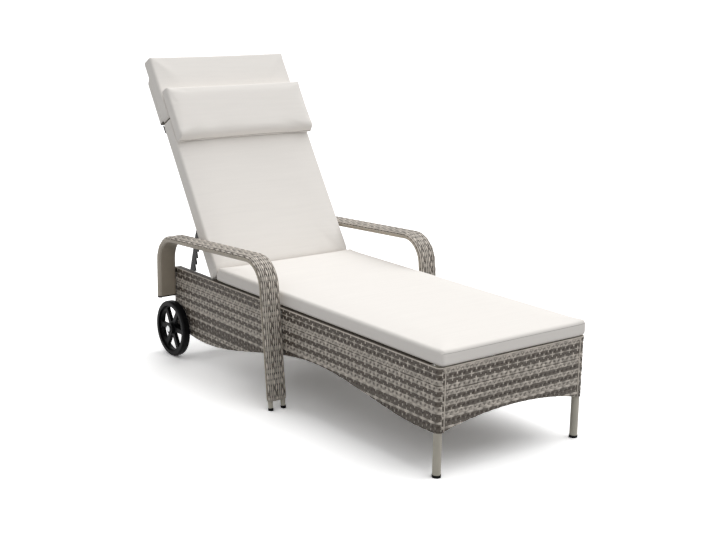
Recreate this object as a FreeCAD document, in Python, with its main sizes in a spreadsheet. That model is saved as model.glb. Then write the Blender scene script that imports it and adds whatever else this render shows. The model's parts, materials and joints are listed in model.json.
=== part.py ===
import FreeCAD, Part
import math
import os

from FreeCAD import Placement, Rotation, Vector

# Driving sizes in millimetres, angles in degrees
SIZES = {
    # Base: X runs to the foot end, Z up, the floor is Z = 0
    "foot_end": 836.3,
    "base_length": 1450,
    "base_width": 584,
    "deck_height": 325,
    "weave": 3,
    "rail_diameter": 22,
    "leg_diameter": 25,
    "tube_wall": 1.5,
    "cap_wall": 2,
    "cap_height": 8,
    "seat_tube_count": 4,
    "rear_tube_height": 150,
    # Lower edge of the woven skirts, heights above the floor from the rear to the foot end
    "hem_rear": 116,
    "hem_low": 87,
    "hem_rise": 120,
    "hem_arch": 186,
    "hem_fall": 166,
    "hem_front": 141,
    "hem_corner": 134,
    "foot_arch": 167,
    "hem_rod_diameter": 8,
    # Armrests
    "arm_tube_diameter": 16,
    "arm_spacing": 48,
    "arm_gap": 1.5,
    "arm_cover": 3.5,
    "arm_setback": 8,
    "arm_rear_height": 443,
    "arm_front_height": 479,
    "arm_corner_from_rear": 651,
    "arm_foot_from_rear": 709,
    "arm_bend": 90,
    "arm_above_wheel": 24,
    "arm_bare_height": 36,
    "arm_plug": 4,
    "bolt_diameter": 8,
    "bolt_head_diameter": 14,
    "bolt_head": 3,
    # Wheels and axle
    "post_from_rear": 3,
    "post_end_height": 84,
    "wheel_diameter": 202,
    "wheel_width": 29,
    "wheel_rim": 17,
    "wheel_web": 13,
    "wheel_hub_diameter": 42,
    "wheel_hub_width": 31,
    "wheel_spoke": 16,
    "wheel_gap": 4.5,
    "wheel_round": 7,
    "axle_diameter": 12,
    "axle_cap_diameter": 22,
    "axle_cap": 5,
    "spacer_diameter": 18,
    # Backrest, measured along the frame from the hinge line
    "back_angle": 57.3,
    "hinge_from_rear": 226,
    "back_length": 790,
    "back_gap": 7,
    "mid_tube_from_top": 150,
    "hinge_plate": 4,
    "hinge_plate_width": 30,
    "hinge_pin_diameter": 10,
    "hinge_pin_reach": 26,
    "bush_length": 20,
    # Prop rack
    "rack_pivot": 262,
    "rack_tilt": 16.2,
    "rack_plate": 5,
    "rack_gap": 2,
    "rack_eye": 10,
    "rack_back": 18,
    "rack_root": 5,
    "rack_tooth": 13,
    "rack_pitch": 26,
    "rack_first_ledge": 100,
    "rack_teeth": 8,
    "rack_ledge_rise": 22,
    "rack_tail": 26,
    "latch_rod_diameter": 12,
    "latch_plate": 4,
    "latch_plate_width": 30,
    # Cushions
    "cushion_side_gap": 6,
    "cushion_thickness": 56,
    "cushion_crown": 7,
    "cushion_bulge": 3,
    "cushion_edge": 6,
    "cushion_overhang": 4,
    "seat_from_hinge": 57,
    "back_cushion_start": 14,
    "back_cushion_overhang": 56,
    "crease_from_top": 234,
    "crease_depth": 6,
    "pocket_length": 228,
    "pocket_wall": 2.5,
    "pocket_inset": 3,
    "pocket_taper": 20,
    "pillow_from_top": 152,
    "pillow_length": 196,
    "pillow_overhang": 1,
    "pillow_thickness": 52,
    "grip_tape": 1.5,
    "grip_tape_width": 40,
    "strap_from_top": 241,
    "strap_width": 25,
    "strap_thickness": 1.5,
    # Clearances
    "running_fit": 0.05,
    "soft_gap": 0.3,
    "latch_gap": 0.6,
}

doc = FreeCAD.newDocument("sun_lounger")
sheet = doc.addObject("Spreadsheet::Sheet", "Sizes")
for row, (alias, amount) in enumerate(SIZES.items(), start=1):
    sheet.set(f"A{row}", alias)
    sheet.set(f"B{row}", str(amount))
    sheet.setAlias(f"B{row}", alias)
doc.recompute()

# Positions that several pieces share, as formulas on the sheet
REAR = "(Sizes.foot_end - Sizes.base_length)"
RAIL_RADIUS = "(Sizes.rail_diameter / 2)"
RAIL_Y = f"(Sizes.base_width / 2 - Sizes.weave - {RAIL_RADIUS})"
RAIL_Z = f"(Sizes.deck_height - Sizes.weave - {RAIL_RADIUS})"
RAIL_INSIDE = f"({RAIL_Y} - {RAIL_RADIUS})"
LEG_RADIUS = "(Sizes.leg_diameter / 2)"
LEG_X = f"(Sizes.foot_end - Sizes.weave - {LEG_RADIUS})"
LEG_Y = f"(Sizes.base_width / 2 - Sizes.weave - {LEG_RADIUS})"
FOOT_RAIL_X = f"(Sizes.foot_end - Sizes.weave - {RAIL_RADIUS})"
POST_X = f"({REAR} + Sizes.post_from_rear)"
AXLE_Z = "(Sizes.wheel_diameter / 2)"
WHEEL_INSIDE = "(Sizes.base_width / 2 + Sizes.wheel_gap)"
HUB_OUTSIDE = f"({WHEEL_INSIDE} + Sizes.wheel_hub_width)"
ARM_RADIUS = "(Sizes.arm_tube_diameter / 2)"
ARM_INNER_Y = f"(Sizes.base_width / 2 + Sizes.arm_gap + Sizes.arm_cover + {ARM_RADIUS})"
ARM_OUTER_Y = f"({ARM_INNER_Y} + Sizes.arm_spacing)"
ARM_END_Z = "(Sizes.wheel_diameter + Sizes.arm_above_wheel)"
HINGE_X = f"({REAR} + Sizes.hinge_from_rear)"
BACK_OUTSIDE = f"({RAIL_INSIDE} - Sizes.back_gap)"
BACK_TUBE_Y = f"({BACK_OUTSIDE} - {RAIL_RADIUS})"
BACK_INSIDE = f"({BACK_TUBE_Y} - {RAIL_RADIUS})"
BACK_FACE = f"({RAIL_RADIUS} + Sizes.weave)"
MID_TUBE = "(Sizes.back_length - Sizes.mid_tube_from_top)"
CUSHION_HALF = "(Sizes.base_width / 2 - Sizes.cushion_side_gap)"
CUSHION_TOP = "(Sizes.back_length + Sizes.back_cushion_overhang)"
PIVOT_X = f"({HINGE_X} - Sizes.rack_pivot * cos(Sizes.back_angle))"
PIVOT_Z = f"({RAIL_Z} + Sizes.rack_pivot * sin(Sizes.back_angle))"
RACK_OUTSIDE = f"({BACK_INSIDE} - Sizes.rack_gap)"
LAST_LEDGE = "(Sizes.rack_first_ledge + Sizes.rack_pitch * (Sizes.rack_teeth - 1))"
RACK_END = f"({LAST_LEDGE} + Sizes.rack_tail)"
ROD_RADIUS = "(Sizes.latch_rod_diameter / 2)"
ROD_OUT = f"(Sizes.rack_root + {ROD_RADIUS} + Sizes.latch_gap)"
ROD_DOWN = (
    f"({LAST_LEDGE} - (Sizes.latch_gap + {ROD_RADIUS}) * tan(Sizes.rack_ledge_rise)"
    f" + ({ROD_RADIUS} + Sizes.latch_gap) / cos(Sizes.rack_ledge_rise))"
)
ROD_X = f"({PIVOT_X} + {ROD_OUT} * cos(Sizes.rack_tilt) - {ROD_DOWN} * sin(Sizes.rack_tilt))"
ROD_Z = f"({PIVOT_Z} - {ROD_OUT} * sin(Sizes.rack_tilt) - {ROD_DOWN} * cos(Sizes.rack_tilt))"
BOLT_RADIUS = "(Sizes.bolt_diameter / 2)"
BOLT_HEAD_RADIUS = "(Sizes.bolt_head_diameter / 2)"
PIN_RADIUS = "(Sizes.hinge_pin_diameter / 2)"
AXLE_RADIUS = "(Sizes.axle_diameter / 2)"
ARM_BOLT_X = (
    f"({REAR} + Sizes.arm_foot_from_rear - (Sizes.arm_foot_from_rear - Sizes.arm_corner_from_rear)"
    f" * {RAIL_Z} / Sizes.arm_front_height)"
)
REAR_BOLT_X = f"({REAR} - Sizes.arm_setback)"

SIDES = {"left": 1, "right": -1}
ALONG = {
    "x": Rotation(Vector(0, 1, 0), 90),
    "y": Rotation(Vector(1, 0, 0), -90),
    "z": Rotation(),
}
PAST_END = 1.0
kept = []


def number(formula):
    """The value of a formula on the sheet, in millimetres or as a plain number."""
    result = sheet.evalExpression(formula)
    return float(getattr(result, "Value", result))


def keep(obj, label):
    """Name a finished piece and put it on the list to be written."""
    obj.Label = label
    kept.append(obj)
    return obj


def bind_position(obj, position):
    """Tie an object's X, Y and Z position to three formulas."""
    for letter, formula in zip("xyz", position):
        obj.setExpression(f"Placement.Base.{letter}", formula)


def bind_to_backrest(obj):
    """Turn an object drawn on the flat backrest up about the hinge line."""
    obj.Placement = Placement(Vector(), Rotation(Vector(0, 1, 0), 1))
    bind_position(obj, (HINGE_X, "0", RAIL_Z))
    obj.setExpression("Placement.Rotation.Angle", "Sizes.back_angle")
    return obj


def rod(name, direction, radius, length, start):
    """A round bar along one axis, its sizes and start point given as formulas."""
    bar = doc.addObject("Part::Cylinder", name)
    bar.Placement.Rotation = ALONG[direction]
    bar.setExpression("Radius", radius)
    bar.setExpression("Height", length)
    bind_position(bar, start)
    return bar


def block(name, lengths, corner):
    """A box, its three lengths and its lowest corner given as formulas."""
    box = doc.addObject("Part::Box", name)
    for side, formula in zip(("Length", "Width", "Height"), lengths):
        box.setExpression(side, formula)
    bind_position(box, corner)
    return box


def cut(name, base, *tools):
    """One solid with one or more others taken out of it."""
    for index, tool in enumerate(tools):
        step = doc.addObject("Part::Cut", f"{name}_cut_{index}")
        step.Base = base
        step.Tool = tool
        base = step
    return base


def group(name, *solids):
    """Separate identical solids that share one node."""
    together = doc.addObject("Part::Compound", f"{name}_group")
    together.Links = list(solids)
    return together


def tube(name, direction, radius, length, start):
    """A round tube with the shared wall thickness."""
    outside = rod(f"{name}_outside", direction, radius, length, start)
    bore = rod(f"{name}_bore", direction, f"{radius} - Sizes.tube_wall", length, start)
    return cut(name, outside, bore)


def drill(name, radius, length, start):
    """A drill that runs across the lounger, along Y."""
    return rod(f"{name}_drill", "y", radius, length, start)


def coded(shape, label, place=Placement()):
    """A piece whose form no primitive gives, drawn in code from the sheet's values."""
    feature = doc.addObject("Part::Feature", label)
    drawn_at = shape.Placement
    feature.Shape = shape
    feature.Placement = place.multiply(drawn_at)
    return keep(feature, label)


def mirrored(sign, formula):
    """A Y formula for one side of the lounger."""
    return f"{sign} * {formula}"


def cross_start(sign, inner, outer):
    """The lower Y end of a bar that spans from inner to outer on one side."""
    return inner if sign > 0 else f"-1 * {outer}"


# Base frame
def base_frame():
    """Rails, cross tubes, legs and posts of the fixed frame."""
    rail_length = f"({LEG_X} - {LEG_RADIUS} - {REAR})"
    for side, sign in SIDES.items():
        y = mirrored(sign, RAIL_Y)
        rail = tube(f"side_rail_{side}", "x", RAIL_RADIUS, rail_length, (REAR, y, RAIL_Z))
        bolt_hole = drill(
            f"side_rail_{side}",
            BOLT_RADIUS,
            f"2 * {RAIL_RADIUS}",
            (ARM_BOLT_X, cross_start(sign, RAIL_Y, f"({RAIL_Y} + 2 * {RAIL_RADIUS})"), RAIL_Z),
        )
        keep(cut(f"side_rail_{side}_drilled", rail, bolt_hole), f"side_rail_{side}")

        leg_start = (LEG_X, mirrored(sign, LEG_Y), "Sizes.cap_wall")
        leg_length = "(Sizes.deck_height - Sizes.weave - Sizes.cap_wall)"
        keep(tube(f"front_leg_{side}", "z", LEG_RADIUS, leg_length, leg_start), f"front_leg_{side}")
        cap_name = f"front_foot_cap_{side}"
        keep(foot_cap(cap_name, LEG_RADIUS, LEG_X, mirrored(sign, LEG_Y)), cap_name)

        post_start = (POST_X, y, "Sizes.post_end_height")
        post_length = f"({RAIL_Z} - {RAIL_RADIUS} - Sizes.post_end_height)"
        post = tube(f"rear_post_{side}", "z", RAIL_RADIUS, post_length, post_start)
        axle_hole = drill(
            f"rear_post_{side}",
            AXLE_RADIUS,
            f"4 * {RAIL_RADIUS}",
            (POST_X, f"{y} - 2 * {RAIL_RADIUS}", AXLE_Z),
        )
        keep(cut(f"rear_post_{side}_drilled", post, axle_hole), f"rear_post_{side}")

    foot_half = f"({LEG_Y} - {LEG_RADIUS})"
    keep(
        tube("foot_rail", "y", RAIL_RADIUS, f"2 * {foot_half}", (FOOT_RAIL_X, f"-1 * {foot_half}", RAIL_Z)),
        "foot_rail",
    )
    inside = (f"2 * {RAIL_INSIDE}", f"-1 * {RAIL_INSIDE}")
    keep(
        tube("rear_cross_tube", "y", RAIL_RADIUS, inside[0], (POST_X, inside[1], "Sizes.rear_tube_height")),
        "rear_cross_tube",
    )
    seat_tubes = []
    first = f"({HINGE_X} + Sizes.seat_from_hinge)"
    for index in range(int(number("Sizes.seat_tube_count"))):
        x = f"{first} + ({FOOT_RAIL_X} - {first}) * {index} / Sizes.seat_tube_count"
        seat_tubes.append(tube(f"seat_tube_{index}", "y", RAIL_RADIUS, inside[0], (x, inside[1], RAIL_Z)))
    keep(group("seat_cross_tubes", *seat_tubes), "seat_cross_tubes")


def foot_cap(name, tube_radius, x, y):
    """A moulded cap that closes a tube end and stands on the floor."""
    body = rod(f"{name}_body", "z", f"{tube_radius} + Sizes.cap_wall / 2", "Sizes.cap_height", (x, y, "0"))
    socket = rod(f"{name}_socket", "z", tube_radius, "Sizes.cap_height", (x, y, "Sizes.cap_wall"))
    return cut(name, body, socket)


# Woven skirts
HEM_STATIONS = (
    ("Sizes.hem_rear", 0.0),
    ("Sizes.hem_low", 0.12),
    ("Sizes.hem_rise", 0.31),
    ("Sizes.hem_arch", 0.6),
    ("Sizes.hem_fall", 0.76),
    ("Sizes.hem_front", 0.88),
    ("Sizes.hem_corner", 1.0),
)


def smooth_edge(points):
    """A smooth curve through a list of points."""
    curve = Part.BSplineCurve()
    curve.interpolate(points)
    return curve.toShape()


def side_hem(y, lift, start, end):
    """The lower edge of a side skirt at one Y, raised by lift."""
    points = []
    for height, share in HEM_STATIONS:
        points.append(Vector(start + share * (end - start), y, number(height) + lift))
    return smooth_edge(points)


def foot_hem(x, lift, half):
    """The arched lower edge of the foot skirt at one X, raised by lift."""
    corner = number("Sizes.hem_corner") + lift
    crown = Vector(x, 0, number("Sizes.foot_arch") + lift)
    return Part.Arc(Vector(x, -half, corner), crown, Vector(x, half, corner)).toShape()


def hung_panel(hem, top_height):
    """A flat face between a hem and a level top edge above it."""
    first = hem.valueAt(hem.FirstParameter)
    last = hem.valueAt(hem.LastParameter)
    above_first = Vector(first.x, first.y, top_height)
    above_last = Vector(last.x, last.y, top_height)
    edges = [
        hem,
        Part.makeLine(last, above_last),
        Part.makeLine(above_last, above_first),
        Part.makeLine(above_first, first),
    ]
    return Part.Face(Part.Wire(edges))


def skirts():
    """Woven side and foot skirts, wrapped corners and the rods in their hems."""
    weave = number("Sizes.weave")
    top = number("Sizes.deck_height")
    half_width = number("Sizes.base_width / 2")
    rear, leg_x = number(REAR), number(LEG_X)
    leg_y, leg_radius = number(LEG_Y), number(LEG_RADIUS)
    rail_inside = number(RAIL_INSIDE)
    bolt_radius = number(BOLT_RADIUS)
    rod_radius = number("Sizes.hem_rod_diameter / 2")
    post_front = number(f"{POST_X} + {RAIL_RADIUS}")
    corner_height = number("Sizes.hem_corner")

    for side, sign in SIDES.items():
        inner_y = sign * (half_width - weave)
        panel = hung_panel(side_hem(inner_y, 0, rear, leg_x), top).extrude(Vector(0, sign * weave, 0))
        rim_depth = half_width - weave - rail_inside
        rim_y = rail_inside if sign > 0 else -(rail_inside + rim_depth)
        rim = Part.makeBox(leg_x - leg_radius - rear, rim_depth, weave, Vector(rear, rim_y, top - weave))
        bolt_start = Vector(number(ARM_BOLT_X), inner_y - sign * PAST_END, number(RAIL_Z))
        bolt_hole = Part.makeCylinder(bolt_radius, weave + 2 * PAST_END, bolt_start, Vector(0, sign, 0))
        coded(panel.fuse(rim).cut(bolt_hole).removeSplitter(), f"woven_side_{side}")

        start_angle = 0 if sign > 0 else -90
        wrap_base = Vector(leg_x, sign * leg_y, corner_height)
        wrap = Part.makeCylinder(leg_radius + weave, top - corner_height, wrap_base, Vector(0, 0, 1), 90)
        wrap.rotate(wrap_base, Vector(0, 0, 1), start_angle)
        post = Part.makeCylinder(leg_radius, top - weave - corner_height, wrap_base)
        coded(wrap.cut(post), f"corner_wrap_{side}")

        rod_y = inner_y - sign * rod_radius
        path = Part.Wire(side_hem(rod_y, rod_radius, post_front, leg_x - leg_radius))
        coded(swept_bar(path, rod_radius), f"hem_rod_{side}")

    foot_x = number("Sizes.foot_end")
    panel = hung_panel(foot_hem(foot_x - weave, 0, leg_y), top).extrude(Vector(weave, 0, 0))
    rim_depth = number("Sizes.rail_diameter")
    rim_half = leg_y - leg_radius
    rim_corner = Vector(foot_x - weave - rim_depth, -rim_half, top - weave)
    rim = Part.makeBox(rim_depth, 2 * rim_half, weave, rim_corner)
    coded(panel.fuse(rim).removeSplitter(), "woven_foot")
    path = Part.Wire(foot_hem(foot_x - weave - rod_radius, rod_radius, leg_y - leg_radius))
    coded(swept_bar(path, rod_radius), "hem_rod_foot")

    deck_start = f"({HINGE_X} + Sizes.seat_from_hinge - {RAIL_RADIUS})"
    deck_end = f"({FOOT_RAIL_X} - {RAIL_RADIUS})"
    deck = block(
        "woven_seat_deck_block",
        (f"{deck_end} - {deck_start}", f"2 * {RAIL_INSIDE}", "Sizes.weave"),
        (deck_start, f"-1 * {RAIL_INSIDE}", "Sizes.deck_height - Sizes.weave"),
    )
    keep(deck, "woven_seat_deck")


def swept_bar(path, radius):
    """A round bar drawn along a path, square to it at the start."""
    first = path.OrderedEdges[0]
    tangent = first.tangentAt(first.FirstParameter)
    circle = Part.Wire(Part.makeCircle(radius, first.valueAt(first.FirstParameter), tangent))
    return path.makePipeShell([circle], True, False)


# Armrests
def bent_path(points, radius):
    """A path of straight runs through the points, with one bend radius at every corner."""
    edges = []
    start = points[0]
    for before, corner, after in zip(points, points[1:], points[2:]):
        into = (corner - before).normalize()
        out = (after - corner).normalize()
        turn = into.getAngle(out)
        reach = radius * math.tan(turn / 2)
        first = corner - into * reach
        last = corner + out * reach
        bisector = (out - into).normalize()
        centre = corner + bisector * (radius / math.cos(turn / 2))
        middle = centre - bisector * radius
        edges.append(Part.makeLine(start, first))
        edges.append(Part.Arc(first, middle, last).toShape())
        start = last
    edges.append(Part.makeLine(start, points[-1]))
    return Part.Wire(edges)


def arm_points(y, foot_height):
    """Corner points of an arm: rear end, rear corner, front corner and a point on the front leg."""
    rear = number(REAR)
    rear_x = number(REAR_BOLT_X)
    front = Vector(rear + number("Sizes.arm_corner_from_rear"), y, number("Sizes.arm_front_height"))
    floor = Vector(rear + number("Sizes.arm_foot_from_rear"), y, 0)
    foot = floor + (front - floor) * (foot_height / front.z)
    return [
        Vector(rear_x, y, number(ARM_END_Z)),
        Vector(rear_x, y, number("Sizes.arm_rear_height")),
        front,
        foot,
    ]


def stadium(centre, half_spacing, radius):
    """A level wire with two round ends, longer along Y."""
    ends = {}
    for sign in (-1, 1):
        middle = centre + Vector(0, sign * half_spacing, 0)
        across = Vector(radius, 0, 0)
        ends[sign] = (middle - across, middle + Vector(0, sign * radius, 0), middle + across)
    return Part.Wire([
        Part.Arc(*ends[-1]).toShape(),
        Part.makeLine(ends[-1][2], ends[1][2]),
        Part.Arc(*reversed(ends[1])).toShape(),
        Part.makeLine(ends[1][0], ends[-1][0]),
    ])


def armrests():
    """Two bent tubes a side, the woven band over them, plugs, caps and bolts."""
    bend = number("Sizes.arm_bend")
    radius = number(ARM_RADIUS)
    wall = number("Sizes.tube_wall")
    cap_wall = number("Sizes.cap_wall")
    cap_height = number("Sizes.cap_height")
    bolt_radius = number(BOLT_RADIUS)
    spacing = number("Sizes.arm_spacing")
    cover_radius = radius + number("Sizes.arm_cover")
    bare = number("Sizes.arm_bare_height")
    plug = number("Sizes.arm_plug")
    post_outside = number(f"{RAIL_Y} + {RAIL_RADIUS}")
    rail_y, rail_z = number(RAIL_Y), number(RAIL_Z)
    nut_height = number("Sizes.bolt_head")
    nut_radius = number("(Sizes.bolt_diameter + Sizes.bolt_head_diameter) / 4")
    spacer_radius = number(BOLT_HEAD_RADIUS)
    plugs, bolts, spacers = [], [], []

    for side, sign in SIDES.items():
        along = Vector(0, sign, 0)
        inner_y, outer_y = sign * number(ARM_INNER_Y), sign * number(ARM_OUTER_Y)
        bolt_length = abs(inner_y) + radius - rail_y
        bolt_start = Vector(number(ARM_BOLT_X), sign * rail_y, rail_z)
        shank = Part.makeCylinder(bolt_radius, bolt_length, bolt_start, along)

        solids, caps = {}, []
        for name, y in (("inner", inner_y), ("outer", outer_y)):
            path = bent_path(arm_points(y, cap_wall), bend)
            solids[name] = swept_bar(path, radius)
            hollow = swept_bar(path, radius - wall)
            pipe = solids[name].cut(hollow)
            if name == "inner":
                pipe = pipe.cut(shank)
            coded(pipe, f"arm_{name}_tube_{side}")
            caps.append(arm_foot_cap(arm_points(y, 0)[-1], arm_points(y, cap_height)[-1], radius, cap_wall))
        coded(Part.makeCompound(caps), f"arm_foot_caps_{side}")

        middle_y = (inner_y + outer_y) / 2
        band_path = bent_path(arm_points(middle_y, bare), bend)
        band_start = arm_points(middle_y, bare)[0]
        band = band_path.makePipeShell([stadium(band_start, spacing / 2, cover_radius)], True, False)
        band = band.cut(solids["inner"]).cut(solids["outer"]).cut(shank)
        coded(band, f"arm_weave_{side}")

        plug_face = Part.Face(stadium(band_start - Vector(0, 0, plug), spacing / 2, cover_radius))
        plugs.append(plug_face.extrude(Vector(0, 0, plug)))

        nut = Part.makeCylinder(nut_radius, nut_height, bolt_start - along * nut_height, along)
        bolts.append(shank.fuse(nut).removeSplitter())

        spacer_start = Vector(number(REAR_BOLT_X), sign * post_outside, rail_z)
        spacer_length = abs(middle_y) - spacing / 2 - cover_radius - post_outside
        spacers.append(Part.makeCylinder(spacer_radius, spacer_length, spacer_start, along))
    coded(Part.makeCompound(plugs), "arm_end_plugs")
    coded(Part.makeCompound(bolts), "arm_bolts")
    coded(Part.makeCompound(spacers), "arm_rear_spacers")


def arm_foot_cap(floor, top, tube_radius, wall):
    """A moulded cap on a slanted tube end, cut level where it meets the floor."""
    lean = (top - floor).normalize()
    below = floor - lean * tube_radius
    length = (top - below).Length
    body = Part.makeCylinder(tube_radius + wall / 2, length, below, lean)
    reach = 2 * length
    below_floor = Vector(floor.x - reach, floor.y - reach, -reach)
    level = Part.makeBox(2 * reach, 2 * reach, reach, below_floor)
    seat = floor + lean * (wall / lean.z)
    socket = Part.makeCylinder(tube_radius, length, seat, lean)
    return body.cut(level).cut(socket)


# Wheels
def wheel_blank(inside, sign):
    """Rim, web and hub of a wheel turned about the axle, before the openings are cut."""
    radius = number("Sizes.wheel_diameter / 2")
    width = number("Sizes.wheel_width")
    rim = number("Sizes.wheel_rim")
    web = number("Sizes.wheel_web")
    hub_radius = number("Sizes.wheel_hub_diameter / 2")
    hub_width = number("Sizes.wheel_hub_width")
    rounding = number("Sizes.wheel_round")
    bore = number(f"{AXLE_RADIUS} + Sizes.running_fit")
    along = Vector(0, sign, 0)

    ring = Part.makeCylinder(radius, width, inside, along)
    rims = [edge for edge in ring.Edges if edge.Curve.TypeId == "Part::GeomCircle"]
    ring = ring.makeFillet(rounding, rims)
    ring = ring.cut(Part.makeCylinder(radius - rim, width, inside, along))
    disc = Part.makeCylinder(radius - rim / 2, web, inside + along * ((width - web) / 2), along)
    for reach, angle in wheel_openings():
        disc = disc.cut(wheel_opening(inside, sign, reach, angle))
    hub = Part.makeCylinder(hub_radius, hub_width, inside, along)
    blank = ring.fuse([disc, hub]).removeSplitter()
    return blank.cut(Part.makeCylinder(bore, hub_width, inside, along))


SPOKES = 6


def wheel_openings():
    """Outer reach and direction of every opening between the spokes."""
    reach = number("Sizes.wheel_diameter / 2 - Sizes.wheel_rim - Sizes.wheel_rim / 4")
    return [(reach, (index + 0.5) * 360 / SPOKES) for index in range(SPOKES)]


def wheel_opening(inside, sign, reach, angle):
    """A rounded wedge between two spokes, as a cutter through the web."""
    spoke = number("Sizes.wheel_spoke")
    start = number("Sizes.wheel_hub_diameter / 2 + Sizes.wheel_spoke / 4")
    width = number("Sizes.wheel_width")
    half_turn = math.radians(180 / SPOKES)
    inner_half = start * math.tan(half_turn) - spoke / 2 / math.cos(half_turn)
    outer_half = reach * math.cos(half_turn) * math.tan(half_turn) - spoke / 2 / math.cos(half_turn)
    bulge = Vector(reach, 0, 0)
    corners = [
        Vector(start, 0, -inner_half),
        Vector(reach * math.cos(half_turn), 0, -outer_half),
        Vector(reach * math.cos(half_turn), 0, outer_half),
        Vector(start, 0, inner_half),
    ]
    outline = Part.Wire([
        Part.makeLine(corners[0], corners[1]),
        Part.Arc(corners[1], bulge, corners[2]).toShape(),
        Part.makeLine(corners[2], corners[3]),
        Part.makeLine(corners[3], corners[0]),
    ])
    wedge = Part.Face(outline).extrude(Vector(0, sign * width, 0))
    upright = [edge for edge in wedge.Edges if abs(edge.tangentAt(edge.FirstParameter).y) > 0.99]
    wedge = wedge.makeFillet(inner_half / 2, upright)
    wedge.rotate(Vector(), Vector(0, 1, 0), angle)
    wedge.translate(inside)
    return wedge


def wheels():
    """Axle, spoked wheels, spacers that hold them off the posts and caps on the axle ends."""
    axle_end = f"({HUB_OUTSIDE} + Sizes.axle_cap / 2)"
    keep(rod("axle_bar", "y", AXLE_RADIUS, f"2 * {axle_end}", (POST_X, f"-1 * {axle_end}", AXLE_Z)), "axle")
    spacers, caps = [], []
    post_outside = f"({RAIL_Y} + {RAIL_RADIUS})"
    spacer_end = f"({WHEEL_INSIDE} - Sizes.running_fit)"
    cap_start = f"({HUB_OUTSIDE} + Sizes.running_fit)"
    for side, sign in SIDES.items():
        inside = Vector(number(POST_X), sign * number(WHEEL_INSIDE), number(AXLE_Z))
        coded(wheel_blank(inside, sign), f"wheel_{side}")
        spacer_radius = "Sizes.spacer_diameter / 2"
        spacers.append(axle_ring(f"spacer_{side}", sign, spacer_radius, post_outside, spacer_end))
        cap_end = f"({cap_start} + Sizes.axle_cap)"
        solid = rod(
            f"axle_cap_{side}_solid",
            "y",
            "Sizes.axle_cap_diameter / 2",
            "Sizes.axle_cap",
            (POST_X, cross_start(sign, cap_start, cap_end), AXLE_Z),
        )
        caps.append(cut(f"axle_cap_{side}", solid, doc.getObject("axle_bar")))
    keep(group("axle_spacers", *spacers), "axle_spacers")
    keep(group("axle_caps", *caps), "axle_caps")


def axle_ring(name, sign, radius, inner, outer):
    """A ring on the axle between two distances from the middle of the lounger."""
    length = f"({outer} - {inner})"
    start = (POST_X, cross_start(sign, inner, outer), AXLE_Z)
    solid = rod(f"{name}_solid", "y", radius, length, start)
    bore = rod(f"{name}_bore", "y", AXLE_RADIUS, length, start)
    return cut(name, solid, bore)


# Backrest frame, drawn flat behind the hinge line and then turned up
def backrest_frame():
    """Hinge tube, side tubes, cross tubes and woven panel of the backrest."""
    side_length = f"(Sizes.back_length - Sizes.rail_diameter - {RAIL_RADIUS})"
    for side, sign in SIDES.items():
        y = mirrored(sign, BACK_TUBE_Y)
        length_start = f"-1 * ({side_length} + {RAIL_RADIUS})"
        pipe = tube(f"backrest_side_tube_{side}", "x", RAIL_RADIUS, side_length, (length_start, y, "0"))
        pivot_hole = drill(
            f"backrest_side_tube_{side}",
            BOLT_RADIUS,
            f"4 * {RAIL_RADIUS}",
            ("-1 * Sizes.rack_pivot", f"{y} - 2 * {RAIL_RADIUS}", "0"),
        )
        drilled = cut(f"backrest_side_tube_{side}_drilled", pipe, pivot_hole)
        keep(bind_to_backrest(drilled), f"backrest_side_tube_{side}")

    full = (f"2 * {BACK_OUTSIDE}", f"-1 * {BACK_OUTSIDE}")
    top_x = f"-1 * (Sizes.back_length - {RAIL_RADIUS})"
    for name, x in (("backrest_hinge_tube", "0"), ("backrest_top_tube", top_x)):
        keep(bind_to_backrest(tube(name, "y", RAIL_RADIUS, full[0], (x, full[1], "0"))), name)
    mid_start = (f"-1 * {MID_TUBE}", f"-1 * {BACK_INSIDE}", "0")
    mid = tube("backrest_mid_tube", "y", RAIL_RADIUS, f"2 * {BACK_INSIDE}", mid_start)
    keep(bind_to_backrest(mid), "backrest_mid_tube")

    panel_length = "(Sizes.back_length - Sizes.rail_diameter)"
    panel = block(
        "woven_back_block",
        (panel_length, full[0], "Sizes.weave"),
        (f"-1 * (Sizes.back_length - {RAIL_RADIUS})", full[1], RAIL_RADIUS),
    )
    keep(bind_to_backrest(group("woven_back", panel)), "woven_back")


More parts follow.
